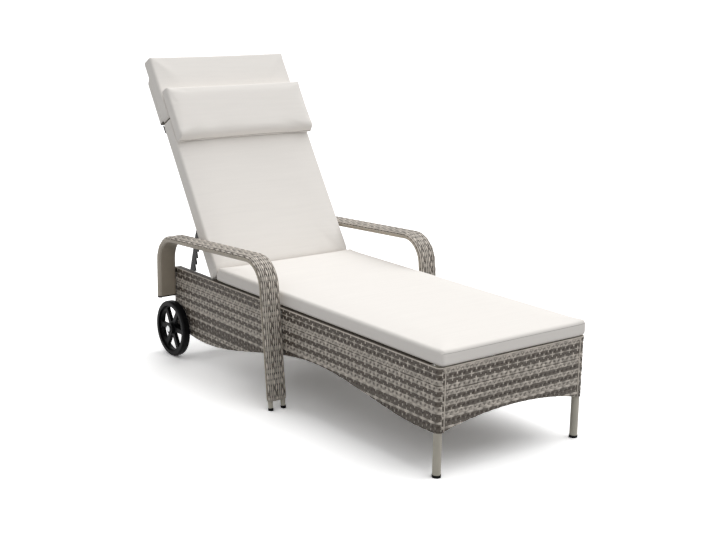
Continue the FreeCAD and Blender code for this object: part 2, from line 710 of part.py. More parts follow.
def hinges():
    """Plates on the rails with pins, and the bushes that turn on them inside the hinge tube."""
    pins, bushes = [], []
    tube_bore = f"({RAIL_RADIUS} - Sizes.tube_wall)"
    plate_inner = f"({RAIL_INSIDE} - Sizes.hinge_plate)"
    pin_start = f"({RAIL_INSIDE} - Sizes.hinge_pin_reach)"
    bush_start = f"({BACK_OUTSIDE} - Sizes.bush_length)"
    for side, sign in SIDES.items():
        blank = block(
            f"hinge_plate_{side}_blank",
            ("Sizes.hinge_plate_width", "Sizes.hinge_plate", "Sizes.rail_diameter"),
            (
                f"{HINGE_X} - Sizes.hinge_plate_width / 2",
                cross_start(sign, plate_inner, RAIL_INSIDE),
                f"{RAIL_Z} - {RAIL_RADIUS}",
            ),
        )
        pin_span = (f"({RAIL_INSIDE} - {pin_start})", cross_start(sign, pin_start, RAIL_INSIDE))
        pin = rod(f"hinge_pin_{side}", "y", PIN_RADIUS, pin_span[0], (HINGE_X, pin_span[1], RAIL_Z))
        keep(cut(f"hinge_bracket_{side}", blank, pin), f"hinge_bracket_{side}")
        pins.append(pin)

        bush_at = (HINGE_X, cross_start(sign, bush_start, BACK_OUTSIDE), RAIL_Z)
        bush = rod(f"hinge_bush_{side}", "y", tube_bore, "Sizes.bush_length", bush_at)
        bore_radius = f"{PIN_RADIUS} + Sizes.running_fit"
        bore = rod(f"hinge_bush_{side}_bore", "y", bore_radius, "Sizes.bush_length", bush_at)
        bushes.append(cut(f"hinge_bush_{side}", bush, bore))
    keep(group("hinge_pins", *pins), "hinge_pins")
    keep(group("hinge_bushes", *bushes), "hinge_bushes")


# Prop rack and latch
def rack_outline():
    """Side view of a rack with its pivot at the origin and its teeth toward +X."""
    eye = number("Sizes.rack_eye")
    back = number("Sizes.rack_back")
    root = number("Sizes.rack_root")
    tooth = number("Sizes.rack_tooth")
    pitch = number("Sizes.rack_pitch")
    first = number("Sizes.rack_first_ledge")
    rise = tooth * math.tan(math.radians(number("Sizes.rack_ledge_rise")))
    end = number(RACK_END)
    rear_edge = [Vector(-eye, 0, 0), Vector(-back, 0, -first), Vector(-back, 0, -end)]
    points = rear_edge + [Vector(root, 0, -end)]
    for index in reversed(range(int(number("Sizes.rack_teeth")))):
        ledge = first + index * pitch
        points.append(Vector(root, 0, -ledge))
        points.append(Vector(root + tooth, 0, -ledge + rise))
    points.append(Vector(root, 0, -first + pitch))
    points.append(Vector(root, 0, 0))
    return points


def prop_rack():
    """Two toothed plates hung on the backrest, their tie rod and pivot bolts."""
    plate = number("Sizes.rack_plate")
    outside = number(RACK_OUTSIDE)
    bolt_radius = number(BOLT_RADIUS)
    head_radius = number(BOLT_HEAD_RADIUS)
    bolt_head = number("Sizes.bolt_head")
    back, root = number("Sizes.rack_back"), number("Sizes.rack_root")
    fit = number("Sizes.running_fit")
    tie_z = -number(f"{RACK_END} - Sizes.rack_tail / 2")
    tie_x = (root - back) / 2
    tie_radius = (root + back) / 4
    tilted = Placement(
        Vector(number(PIVOT_X), 0, number(PIVOT_Z)),
        Rotation(Vector(0, 1, 0), number("Sizes.rack_tilt")),
    )
    points = rack_outline()
    face = Part.Face(Part.makePolygon(points + points[:1]))
    eye = Part.makeCylinder(number("Sizes.rack_eye"), plate, Vector(), Vector(0, 1, 0))
    hole = Part.makeCylinder(bolt_radius + fit, plate, Vector(), Vector(0, 1, 0))
    bolts = []
    for side, sign in SIDES.items():
        inner = outside - plate
        low = inner if sign > 0 else -outside
        bar = face.extrude(Vector(0, plate, 0)).fuse(eye).cut(hole).removeSplitter()
        bar.translate(Vector(0, low, 0))
        coded(bar, f"prop_rack_{side}", tilted)

        along = Vector(0, sign, 0)
        pivot = Vector(number(PIVOT_X), 0, number(PIVOT_Z))
        nut_end = inner - number("Sizes.rack_gap")
        tube_outside = number(BACK_OUTSIDE)
        inner_end = pivot + along * (nut_end - bolt_head)
        shank = Part.makeCylinder(bolt_radius, tube_outside - nut_end + bolt_head, inner_end, along)
        head = Part.makeCylinder(head_radius, bolt_head, pivot + along * tube_outside, along)
        nut = Part.makeCylinder(head_radius, bolt_head, inner_end, along)
        bolts.append(shank.fuse([head, nut]).removeSplitter())
    coded(Part.makeCompound(bolts), "rack_pivot_bolts")

    half = outside - plate
    tie = Part.makeCylinder(tie_radius, 2 * half, Vector(tie_x, -half, tie_z), Vector(0, 1, 0))
    coded(tie, "rack_tie_rod", tilted)


def latch():
    """The fixed rod that a rack ledge rests on, and the plates that hold it under the rails."""
    plate_inner = f"({RAIL_INSIDE} - Sizes.latch_plate)"
    bar = rod("latch_rod_bar", "y", ROD_RADIUS, f"2 * {RAIL_INSIDE}", (ROD_X, f"-1 * {RAIL_INSIDE}", ROD_Z))
    keep(bar, "latch_rod")
    plate_bottom = f"({ROD_Z} - Sizes.latch_plate_width / 2)"
    for side, sign in SIDES.items():
        blank = block(
            f"latch_bracket_{side}_blank",
            ("Sizes.latch_plate_width", "Sizes.latch_plate", f"({RAIL_Z} - {plate_bottom})"),
            (
                f"{ROD_X} - Sizes.latch_plate_width / 2",
                cross_start(sign, plate_inner, RAIL_INSIDE),
                plate_bottom,
            ),
        )
        keep(cut(f"latch_bracket_{side}", blank, bar), f"latch_bracket_{side}")


# Soft parts, drawn flat with their length along X
# How full the stuffing is at an end seam, just inside it and a few seam widths further in
EDGE_FULLNESS = 0.15
SHOULDER_FULLNESS = 0.35
NEAR_FULLNESS = 0.8
SHOULDER_EDGES = 8


def cushion_section(x, half, low, high, bulge, crown):
    """One cross section: level underside, bulged sides and a crowned top."""
    corners = [Vector(x, -half, low), Vector(x, half, low), Vector(x, half, high), Vector(x, -half, high)]
    middle = (low + high) / 2
    return Part.Wire([
        Part.makeLine(corners[0], corners[1]),
        Part.Arc(corners[1], Vector(x, half + bulge, middle), corners[2]).toShape(),
        Part.Arc(corners[2], Vector(x, 0, high + crown), corners[3]).toShape(),
        Part.Arc(corners[3], Vector(x, -half - bulge, middle), corners[0]).toShape(),
    ])


def cushion(length, width, thickness, crown, creases=()):
    """A stuffed cushion: drawn-in ends and sides, a crowned top and optional creases across it."""
    edge = number("Sizes.cushion_edge")
    bulge = number("Sizes.cushion_bulge")
    depth = number("Sizes.crease_depth")
    half = width / 2 - bulge
    high = thickness - crown
    stations = []
    drawn_in = (half - edge / 2, edge, high - edge, bulge * EDGE_FULLNESS, crown * EDGE_FULLNESS)
    for end, inward in ((0, 1), (length, -1)):
        stations.append((end, *drawn_in))
        stations.append((end + inward * edge, half, 0, high, bulge, crown * SHOULDER_FULLNESS))
        stations.append((end + inward * SHOULDER_EDGES * edge, half, 0, high, bulge, crown * NEAR_FULLNESS))
    stations.append((length / 2, half, 0, high, bulge, crown))
    for crease in creases:
        stations.append((crease - edge, half, 0, high, bulge, crown))
        stations.append((crease, half - depth / 2, 0, high - depth, bulge * EDGE_FULLNESS, crown))
        stations.append((crease + edge, half, 0, high, bulge, crown))
    sections = [cushion_section(*station) for station in sorted(stations)]
    return Part.makeLoft(sections, True, True)


def soft_parts():
    """Seat and back cushions, the pocket over the frame, strap, pillow and grip tapes."""
    width = number(f"2 * {CUSHION_HALF}")
    thickness = number("Sizes.cushion_thickness")
    crown = number("Sizes.cushion_crown")
    gap = number("Sizes.soft_gap")
    face = number(BACK_FACE)
    turned_up = Placement(
        Vector(number(HINGE_X), 0, number(RAIL_Z)),
        Rotation(Vector(0, 1, 0), number("Sizes.back_angle")),
    )

    seat_start = number(f"{HINGE_X} + Sizes.seat_from_hinge")
    seat_end = number("Sizes.foot_end + Sizes.cushion_overhang")
    on_deck = Placement(Vector(seat_start, 0, number("Sizes.deck_height") + gap), Rotation())
    coded(cushion(seat_end - seat_start, width, thickness, crown), "seat_cushion", on_deck)

    start, end = number("Sizes.back_cushion_start"), number(CUSHION_TOP)
    back = cushion(end - start, width, thickness, crown, [number("Sizes.crease_from_top")])
    back.translate(Vector(-end, 0, face + gap))
    coded(back, "back_cushion", turned_up)

    front = face + gap + thickness
    tape = number("Sizes.grip_tape")
    pillow_end = end - number("Sizes.pillow_from_top")
    pillow_length = number("Sizes.pillow_length")
    pillow_width = width + 2 * number("Sizes.pillow_overhang")
    pillow = cushion(pillow_length, pillow_width, number("Sizes.pillow_thickness"), crown)
    pillow.translate(Vector(-pillow_end, 0, front + tape + gap))
    coded(pillow, "head_pillow", turned_up)

    tape_width = number("Sizes.grip_tape_width")
    tape_at = pillow_end - pillow_length / 2
    tapes = []
    for sign in SIDES.values():
        corner = Vector(-tape_at - pillow_length / 4, sign * width / 8 - tape_width / 2, front)
        tapes.append(Part.makeBox(pillow_length / 2, tape_width, tape + gap, corner))
    coded(Part.makeCompound(tapes), "pillow_grip_tapes", turned_up)

    coded(pocket(face), "cushion_pocket", turned_up)
    coded(strap(face), "cushion_strap", turned_up)


def pocket(face):
    """A fabric pocket behind the cushion that slips over the top of the frame, open below."""
    end = number(CUSHION_TOP)
    start = end - number("Sizes.pocket_length")
    shoulder = number("Sizes.back_length")
    wall = number("Sizes.pocket_wall")
    taper = number("Sizes.pocket_taper")
    gap = number("Sizes.soft_gap")
    half = number(f"{CUSHION_HALF} - Sizes.pocket_inset")
    back = -number(RAIL_RADIUS) - gap

    def slab(reach, rear, half_width):
        side = [
            Vector(-start, -half_width, face),
            Vector(-start, -half_width, rear),
            Vector(-shoulder - gap, -half_width, rear),
            Vector(-end + 2 * wall - reach, -half_width, rear + taper - reach),
            Vector(-end + 2 * wall - reach, -half_width, face),
        ]
        return Part.Face(Part.makePolygon(side + side[:1])).extrude(Vector(0, 2 * half_width, 0))

    return slab(wall, back - wall, half).cut(slab(0, back, half - wall))


def strap(face):
    """An elastic strap behind the frame, sewn to the rear edges of the back cushion."""
    width = number("Sizes.strap_width")
    start = number(f"{CUSHION_TOP} - Sizes.strap_from_top") - width
    thick = number("Sizes.strap_thickness")
    gap = number("Sizes.soft_gap")
    sewn = number(f"{CUSHION_HALF} - 2 * Sizes.cushion_bulge")
    turn = number(BACK_OUTSIDE)
    back = -number(RAIL_RADIUS) - gap
    inner = [
        Vector(-start, -sewn, face),
        Vector(-start, -turn, back),
        Vector(-start, turn, back),
        Vector(-start, sewn, face),
    ]
    outer = [
        Vector(-start, sewn + thick, face),
        Vector(-start, turn + thick, back - thick),
        Vector(-start, -turn - thick, back - thick),
        Vector(-start, -sewn - thick, face),
    ]
    loop = inner + outer
    return Part.Face(Part.makePolygon(loop + loop[:1])).extrude(Vector(-width, 0, 0))


def check_pieces():
    """Stop if any object failed or any finished piece is empty or broken."""
    for obj in doc.Objects:
        if {"Invalid", "Error"} & set(obj.State):
            raise RuntimeError(f"{obj.Name} did not compute: {obj.State}")
    for piece in kept:
        shape = piece.Shape
        if shape.isNull() or not shape.isValid() or shape.Volume <= 0:
            raise RuntimeError(f"{piece.Label} has no valid solid")


def write_pieces():
    """Write every finished piece to its own file."""
    os.makedirs("parts", exist_ok=True)
    for piece in kept:
        piece.Shape.exportStep(os.path.join("parts", f"{piece.Label}.step"))


base_frame()
skirts()
armrests()
wheels()
backrest_frame()
hinges()
prop_rack()
latch()
soft_parts()
doc.recompute()
check_pieces()
write_pieces()
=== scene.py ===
"""Looks of a woven sun lounger with cushions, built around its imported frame.

The frame's tubes, wheels, caps and fittings keep their own shapes and get finishes. The woven
panels, the arm covers, the cushions, the pocket and the strap are new surfaces that stand for
the frame's plain solids. Lengths are metres: +X runs to the foot end, +Z up, the floor is Z = 0.
"""

from __future__ import annotations

import json
import logging
import math
from collections.abc import Sequence
from dataclasses import dataclass, field
from enum import Enum

import bpy
import numpy as np
from mathutils import Matrix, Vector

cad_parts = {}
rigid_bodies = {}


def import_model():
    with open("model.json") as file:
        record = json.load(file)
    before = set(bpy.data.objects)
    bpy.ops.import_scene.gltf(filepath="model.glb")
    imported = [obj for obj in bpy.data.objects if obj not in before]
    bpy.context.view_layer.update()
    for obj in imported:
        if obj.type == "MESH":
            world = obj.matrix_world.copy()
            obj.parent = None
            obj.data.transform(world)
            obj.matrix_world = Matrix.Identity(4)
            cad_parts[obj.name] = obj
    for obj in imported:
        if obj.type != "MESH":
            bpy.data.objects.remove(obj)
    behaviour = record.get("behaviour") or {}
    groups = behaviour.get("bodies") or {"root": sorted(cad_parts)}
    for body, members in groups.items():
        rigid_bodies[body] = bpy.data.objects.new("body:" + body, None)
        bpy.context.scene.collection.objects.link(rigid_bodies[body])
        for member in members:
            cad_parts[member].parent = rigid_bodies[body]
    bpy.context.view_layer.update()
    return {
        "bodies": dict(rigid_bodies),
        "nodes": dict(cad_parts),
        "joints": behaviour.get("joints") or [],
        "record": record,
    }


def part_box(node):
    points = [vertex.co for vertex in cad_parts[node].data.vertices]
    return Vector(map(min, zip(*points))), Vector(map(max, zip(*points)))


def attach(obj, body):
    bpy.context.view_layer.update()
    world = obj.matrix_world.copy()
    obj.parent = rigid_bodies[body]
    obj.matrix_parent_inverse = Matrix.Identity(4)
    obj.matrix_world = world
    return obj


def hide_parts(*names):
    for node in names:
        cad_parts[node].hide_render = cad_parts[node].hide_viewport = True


LOG = logging.getLogger("sun_lounger")
MM = 0.001
PHOTO_WIDTH = 716
SEED = 11
UP = np.array([0.0, 0.0, 1.0])


class Tone(Enum):
    """The shades of the weave as a share of dark: its three strand colours, and a painted shade, darker
    than the dark strand, for the hollows between them.
    """

    PALE = -0.35
    LIGHT = 0.0
    DARK = 1.0
    # Painted shade for the weave's hollows and for the inside of the arm covers
    HOLLOW_SHADE = 1.18


class Side(Enum):
    """The sitter's two sides, as the sign of Y."""

    LEFT = 1
    RIGHT = -1

    @property
    def word(self) -> str:
        """The side as it is written in node names."""
        return self.name.lower()


# Small tools for nodes and colours
def linear(colour: str) -> tuple[float, float, float, float]:
    """Turn an sRGB hex colour into linear light.

    Args:
        colour: Six hex digits after a hash.

    Returns:
        Linear red, green and blue, and an alpha of one.
    """
    channels = [int(colour[i : i + 2], 16) / 255 for i in (1, 3, 5)]
    light = [c / 12.92 if c <= 0.04045 else ((c + 0.055) / 1.055) ** 2.4 for c in channels]
    return (light[0], light[1], light[2], 1.0)


def add_node(
    tree: bpy.types.NodeTree,
    kind: str,
    inputs: dict[str | int, object] | None = None,
    **settings: object,
) -> bpy.types.Node:
    """Add one node with its settings, values and links.

    Args:
        tree: The node tree that the node goes into.
        kind: Blender's name of the node type.
        inputs: A value, or the socket to link from, for each input's name or number.
        settings: Properties of the node itself.

    Returns:
        The new node.
    """
    node = tree.nodes.new(kind)
    for name, value in settings.items():
        setattr(node, name, value)
    for key, value in (inputs or {}).items():
        socket = node.inputs[key]
        if isinstance(value, bpy.types.NodeSocket):
            tree.links.new(value, socket)
        else:
            socket.default_value = value
    return node


# Numbers of the mix node's colour sockets, because their names repeat
MIX_FACTOR, MIX_FIRST, MIX_SECOND, MIX_RESULT = 0, 6, 7, 2
# The range that most values of a noise lie in
NOISE_SPAN = (0.3, 0.7)


def maths(tree: bpy.types.NodeTree, operation: str, *values: object) -> bpy.types.NodeSocket:
    """Add a maths node on one or two values or sockets and return its result."""
    return add_node(tree, "ShaderNodeMath", dict(enumerate(values)), operation=operation).outputs[0]


def noise(
    tree: bpy.types.NodeTree,
    place: bpy.types.NodeSocket,
    scale: float,
    detail: float,
    roughness: float = 0.5,
) -> bpy.types.NodeSocket:
    """Add a noise pattern, looked up at a place, and return the socket with its value."""
    inputs = {"Vector": place, "Scale": scale, "Detail": detail, "Roughness": roughness}
    return add_node(tree, "ShaderNodeTexNoise", inputs).outputs["Fac"]


def remapped(
    tree: bpy.types.NodeTree,
    value: bpy.types.NodeSocket,
    old: tuple[float, float],
    new: tuple[float, float],
    interpolation: str = "LINEAR",
) -> bpy.types.NodeSocket:
    """Carry a value over from an old range to a new one and return the socket with it."""
    (low, high), (start, end) = old, new
    inputs = {"Value": value, "From Min": low, "From Max": high, "To Min": start, "To Max": end}
    return add_node(tree, "ShaderNodeMapRange", inputs, interpolation_type=interpolation).outputs[0]


def mixed(
    tree: bpy.types.NodeTree, factor: object, first: object, second: object, **settings: object
) -> bpy.types.NodeSocket:
    """Mix two colours, given or from sockets, and return the socket with the result."""
    inputs = {MIX_FACTOR: factor, MIX_FIRST: first, MIX_SECOND: second}
    return add_node(tree, "ShaderNodeMix", inputs, data_type="RGBA", **settings).outputs[MIX_RESULT]


def bumped(
    tree: bpy.types.NodeTree,
    height: bpy.types.NodeSocket,
    strength: float,
    depth: float,
    normal: bpy.types.NodeSocket | None = None,
    invert: bool = False,
) -> bpy.types.NodeSocket:
    """Bump a surface by a pattern.

    Args:
        tree: The node tree.
        height: The socket with the pattern.
        strength: Share of the bump that shows.
        depth: Depth of the pattern.
        normal: A bumped normal that this one adds to, or none.
        invert: Whether high values go in and not out.

    Returns:
        The socket with the bumped normal.
    """
    inputs = {"Height": height, "Strength": strength, "Distance": depth}
    if normal is not None:
        inputs["Normal"] = normal
    return add_node(tree, "ShaderNodeBump", inputs, invert=invert).outputs[0]


def cleared(owner: bpy.types.Material | bpy.types.World) -> bpy.types.NodeTree:
    """Turn nodes on for a material or a world and return its node tree, emptied."""
    owner.use_nodes = True
    owner.node_tree.nodes.clear()
    return owner.node_tree


# Finishes
@dataclass(frozen=True)
class Finish:
    """A real finish: its name, the record's slot it belongs to, which is not used, and how its nodes
    are drawn.
    """

    name: str
    slot: str

    def material(self) -> bpy.types.Material:
        """Return the finish's material, which is drawn the first time it is asked for."""
        made = bpy.data.materials.get(self.name)
        if made is None:
            made = bpy.data.materials.new(self.name)
            tree = cleared(made)
            add_node(tree, "ShaderNodeOutputMaterial", {"Surface": self.draw(tree)})
        return made

    def draw(self, tree: bpy.types.NodeTree) -> bpy.types.NodeSocket:
        """Draw the finish's nodes and return the shader's socket."""
        raise NotImplementedError

    def dress(self, piece: bpy.types.Object) -> None:
        """Give a piece this finish as its only material."""
        piece.data.materials.clear()
        piece.data.materials.append(self.material())


@dataclass(frozen=True)
class ExtrudedRattan(Finish):
    """Polyethylene rattan, extruded as a flat strand.

    The die leaves fine grooves along the strand, and two mixed colours drift along its length.
    """

    light: str = "#ddd4c9"
    dark: str = "#5b534a"
    roughness: float = 0.55
    ior: float = 1.5
    grooves: float = 4.0
    groove_bump: float = 0.4
    groove_depth: float = 0.25 * MM
    drift_length: float = 45 * MM
    drift_span: tuple[float, float] = (0.25, 0.75)
    drift: float = 0.32

    def draw(self, tree: bpy.types.NodeTree) -> bpy.types.NodeSocket:
        """Mix the two shades by the strand's tone, then drift them along the strand and groove it."""
        strand = add_node(tree, "ShaderNodeUVMap", uv_map="strand").outputs["UV"]
        tone = add_node(tree, "ShaderNodeAttribute", attribute_name="tone").outputs["Fac"]
        shade = add_node(tree, "ShaderNodeAttribute", attribute_name="shade").outputs["Fac"]
        along, across = add_node(tree, "ShaderNodeSeparateXYZ", {"Vector": strand}).outputs[:2]
        slow = maths(tree, "MULTIPLY", along, 1 / self.drift_length)
        place = add_node(tree, "ShaderNodeCombineXYZ", {"X": slow, "Y": across, "Z": shade}).outputs[0]
        drifted = noise(tree, place, scale=1.0, detail=3.0)
        brightness = remapped(tree, drifted, self.drift_span, (1 - self.drift, 1 + self.drift / 2))
        # A tone past 1 runs beyond the dark colour: the painted shade of the weave's hollows
        blend = mixed(tree, tone, linear(self.light), linear(self.dark), clamp_factor=False)
        groove = maths(tree, "SINE", maths(tree, "MULTIPLY", across, 2 * math.pi * self.grooves))
        shader = add_node(
            tree,
            "ShaderNodeBsdfPrincipled",
            {
                "Base Color": mixed(tree, 1.0, blend, brightness, blend_type="MULTIPLY"),
                "Roughness": self.roughness,
                "IOR": self.ior,
                "Normal": bumped(tree, groove, self.groove_bump, self.groove_depth),
            },
        )
        return shader.outputs[0]


@dataclass(frozen=True)
class GrainedCoat(Finish):
    """Powder coat or moulded plastic: one colour with a fine grain, uneven in shade and gloss."""

    colour: str
    roughness: float = 0.45
    gloss_range: float = 0.08
    ior: float = 1.5
    specular: float = 0.5
    metallic: float = 0.0
    grain: float = 1.6 * MM
    grain_bump: float = 0.35
    grain_depth: float = 0.12 * MM
    patch: float = 70 * MM
    unevenness: float = 0.08

    def draw(self, tree: bpy.types.NodeTree) -> bpy.types.NodeSocket:
        """Vary the colour in soft patches and roughen the surface with the grain."""
        place = add_node(tree, "ShaderNodeTexCoord").outputs["Object"]
        patches = noise(tree, place, 1 / self.patch, detail=3.0)
        brightness = remapped(tree, patches, NOISE_SPAN, (1 - self.unevenness, 1 + self.unevenness))
        grains = noise(tree, place, 1 / self.grain, detail=2.0)
        rougher = (self.roughness - self.gloss_range, self.roughness + self.gloss_range)
        shader = add_node(
            tree,
            "ShaderNodeBsdfPrincipled",
            {
                "Base Color": mixed(tree, 1.0, linear(self.colour), brightness, blend_type="MULTIPLY"),
                "Roughness": remapped(tree, grains, (0.0, 1.0), rougher),
                "Metallic": self.metallic,
                "IOR": self.ior,
                "Specular IOR Level": self.specular,
                "Normal": bumped(tree, grains, self.grain_bump, self.grain_depth),
            },
        )
        return shader.outputs[0]


@dataclass(frozen=True)
class WovenCloth(Finish):
    """Plain-woven cloth: crossing threads, slubs along the weft, and a line of painted shade where it
    is sewn.
    """

    colour: str = "#f4f0eb"
    # The sewn lines' colour is painted shade, for a seam's groove and the contact shadow under a seam
    seam_shade_colour: str = "#7d766e"
    roughness: float = 0.85
    ior: float = 1.5
    specular: float = 0.2
    sheen: float = 0.1
    # Threads are 0.6 mm apart in the real cloth, and drawn at 2 mm so that they show
    thread: float = 2.0 * MM
    thread_bump: float = 0.3
    thread_depth: float = 0.12 * MM
    slub_length: float = 220 * MM
    slub_width: float = 11 * MM
    slub: float = 0.014
    # The seam's mark at which its line of painted shade starts to show, and at which it is full
    seam_span: tuple[float, float] = (0.72, 0.95)
    seam_bump: float = 0.5
    seam_depth: float = 1.5 * MM

    def draw(self, tree: bpy.types.NodeTree) -> bpy.types.NodeSocket:
        """Cross two sets of threads, streak them along the weft, and paint shade along the sewn lines.
        """
        cloth = add_node(tree, "ShaderNodeUVMap", uv_map="cloth").outputs["UV"]
        sewn = add_node(tree, "ShaderNodeAttribute", attribute_name="seam").outputs["Fac"]
        places = add_node(tree, "ShaderNodeSeparateXYZ", {"Vector": cloth}).outputs[:2]
        turns = [maths(tree, "MULTIPLY", place, 2 * math.pi / self.thread) for place in places]
        threads = maths(tree, "MULTIPLY", *[maths(tree, "SINE", turn) for turn in turns])
        stretch = (1 / self.slub_width, 1 / self.slub_length, 1.0)
        slub_place = add_node(tree, "ShaderNodeMapping", {"Vector": cloth, "Scale": stretch}).outputs[0]
        slubs = noise(tree, slub_place, scale=1.0, detail=4.0, roughness=0.6)
        brightness = remapped(tree, slubs, NOISE_SPAN, (1 - self.slub, 1 + self.slub))
        # The sewn lines are painted in shade, strongest where the seam's mark is high
        line = remapped(tree, sewn, self.seam_span, (0.0, 1.0), "SMOOTHSTEP")
        base = mixed(tree, line, linear(self.colour), linear(self.seam_shade_colour))
        threaded = bumped(tree, threads, self.thread_bump, self.thread_depth)
        shader = add_node(
            tree,
            "ShaderNodeBsdfPrincipled",
            {
                "Base Color": mixed(tree, 1.0, base, brightness, blend_type="MULTIPLY"),
                "Roughness": self.roughness,
                "IOR": self.ior,
                "Specular IOR Level": self.specular,
                "Sheen Weight": self.sheen,
                "Normal": bumped(tree, line, self.seam_bump, self.seam_depth, threaded, invert=True),
            },
        )
        return shader.outputs[0]


RATTAN = ExtrudedRattan("polyethylene_rattan_extruded", "woven_rattan")
RATTAN_STRIP = GrainedCoat(
    "polyethylene_strip_smooth", "woven_rattan", colour="#a89e8f", roughness=0.5, grain=2.5 * MM
)
TAUPE_COAT = GrainedCoat("steel_powder_coated_taupe", "taupe_powder_coat", colour="#bab5a8")
BLACK_COAT = GrainedCoat(
    "steel_powder_coated_black", "black_powder_coat", colour="#101011", specular=0.25
)
# The wheels are moulded with a dull skin that mirrors little
BLACK_PLASTIC = GrainedCoat(
    "polypropylene_moulded_black",
    "black_plastic",
    colour="#08080a",
    roughness=0.5,
    specular=0.12,
    grain=1.2 * MM,
)
ZINC = GrainedCoat(
    "steel_zinc_plated", "zinc_steel", colour="#c5c7c8", roughness=0.34, metallic=1.0, grain=0.9 * MM
)
CANVAS = WovenCloth("polyester_canvas_woven", "cushion_fabric")
ELASTIC = WovenCloth(
    "elastic_webbing_black", "black_elastic", colour="#161616", seam_shade_colour="#0c0c0c", slub=0.15
)

# The frame pieces that stay in view with each finish, by the start of their names
FRAME_FINISHES: dict[Finish, tuple[str, ...]] = {
    TAUPE_COAT: (
        "side_rail",
        "foot_rail",
        "seat_cross_tubes",
        "front_leg",
        "hem_rod",
        "arm_inner_tube",
        "arm_outer_tube",
        "backrest",
    ),
    BLACK_COAT: (
        "rear_cross_tube",
        "rear_post",
        "hinge_bracket",
        "latch_rod",
        "latch_bracket",
        "rack",
        "prop_rack",
    ),
    BLACK_PLASTIC: (
        "front_foot_cap",
        "arm_foot_caps",
        "arm_end_plugs",
        "arm_rear_spacers",
        "axle_spacers",
        "hinge_bushes",
        "wheel",
        "pillow_grip_tapes",
    ),
    ZINC: ("arm_bolts", "axle", "axle_caps", "hinge_pins", "rack_pivot_bolts"),
}


# Surfaces as arrays
def unit(vectors: np.ndarray) -> np.ndarray:
    """Return vectors at a length of one."""
    return vectors / np.linalg.norm(vectors, axis=-1, keepdims=True)


def grid_faces(number: np.ndarray) -> np.ndarray:
    """Return the four-cornered faces of a grid of point numbers."""
    faces = np.stack([number[:-1, :-1], number[1:, :-1], number[1:, 1:], number[:-1, 1:]], axis=-1)
    return faces.reshape(-1, 4)


@dataclass
class Surface:
    """Points, four-cornered faces and the patterns on them, before they become a mesh.

    Attributes:
        points: One row of X, Y, Z for each point.
        faces: One row of four point numbers for each face.
        uv: The pattern's place at each corner of each face.
        marks: Named values, one for each point.
    """

    points: np.ndarray
    faces: np.ndarray
    uv: np.ndarray
    marks: dict[str, np.ndarray] = field(default_factory=dict)

    @staticmethod
    def joined(parts: Sequence[Surface]) -> Surface:
        """Join several surfaces into one, with the point numbers moved along.

        Args:
            parts: Surfaces that carry the same marks.

        Returns:
            One surface that holds them all.
        """
        starts = np.cumsum([0] + [len(part.points) for part in parts[:-1]])
        return Surface(
            np.concatenate([part.points for part in parts]),
            np.concatenate([part.faces + start for part, start in zip(parts, starts)]),
            np.concatenate([part.uv for part in parts]),
            {name: np.concatenate([part.marks[name] for part in parts]) for name in parts[0].marks},
        )

    def to_object(self, name: str, uv_name: str) -> bpy.types.Object:
        """Make a smooth-shaded mesh object of the surface, at the origin.

        Args:
            name: The piece's name.
            uv_name: The name that its finish knows the pattern's places by.

        Returns:
            The object, linked into the scene.
        """
        mesh = bpy.data.meshes.new(name)
        count = len(self.faces)
        mesh.vertices.add(len(self.points))
        mesh.vertices.foreach_set("co", self.points.astype(np.float32).ravel())
        mesh.loops.add(4 * count)
        mesh.loops.foreach_set("vertex_index", self.faces.astype(np.int32).ravel())
        mesh.polygons.add(count)
        mesh.polygons.foreach_set("loop_start", np.arange(0, 4 * count, 4, dtype=np.int32))
        mesh.polygons.foreach_set("use_smooth", np.ones(count, dtype=bool))
        layer = mesh.uv_layers.new(name=uv_name)
        layer.data.foreach_set("uv", self.uv.astype(np.float32).ravel())
        for mark, values in self.marks.items():
            attribute = mesh.attributes.new(mark, "FLOAT", "POINT")
            attribute.data.foreach_set("value", values.astype(np.float32))
        mesh.update(calc_edges=True)
        piece = bpy.data.objects.new(name, mesh)
        bpy.context.scene.collection.objects.link(piece)
        return piece


# Cross-sections as closed rings of points across and out, each from -1 to 1
FLAT_STRAND = np.array([(-1, 0), (-0.6, -1), (0.6, -1), (1, 0), (0.6, 1), (-0.6, 1)], float)
FLAT_WEBBING = np.array([(-1, 0), (-0.94, -1), (0.94, -1), (1, 0), (0.94, 1), (-0.94, 1)], float)

# Distance between neighbouring strands in the pattern, and the range of their own shades
STRAND_APART = 3
SHADE_RANGE = 50


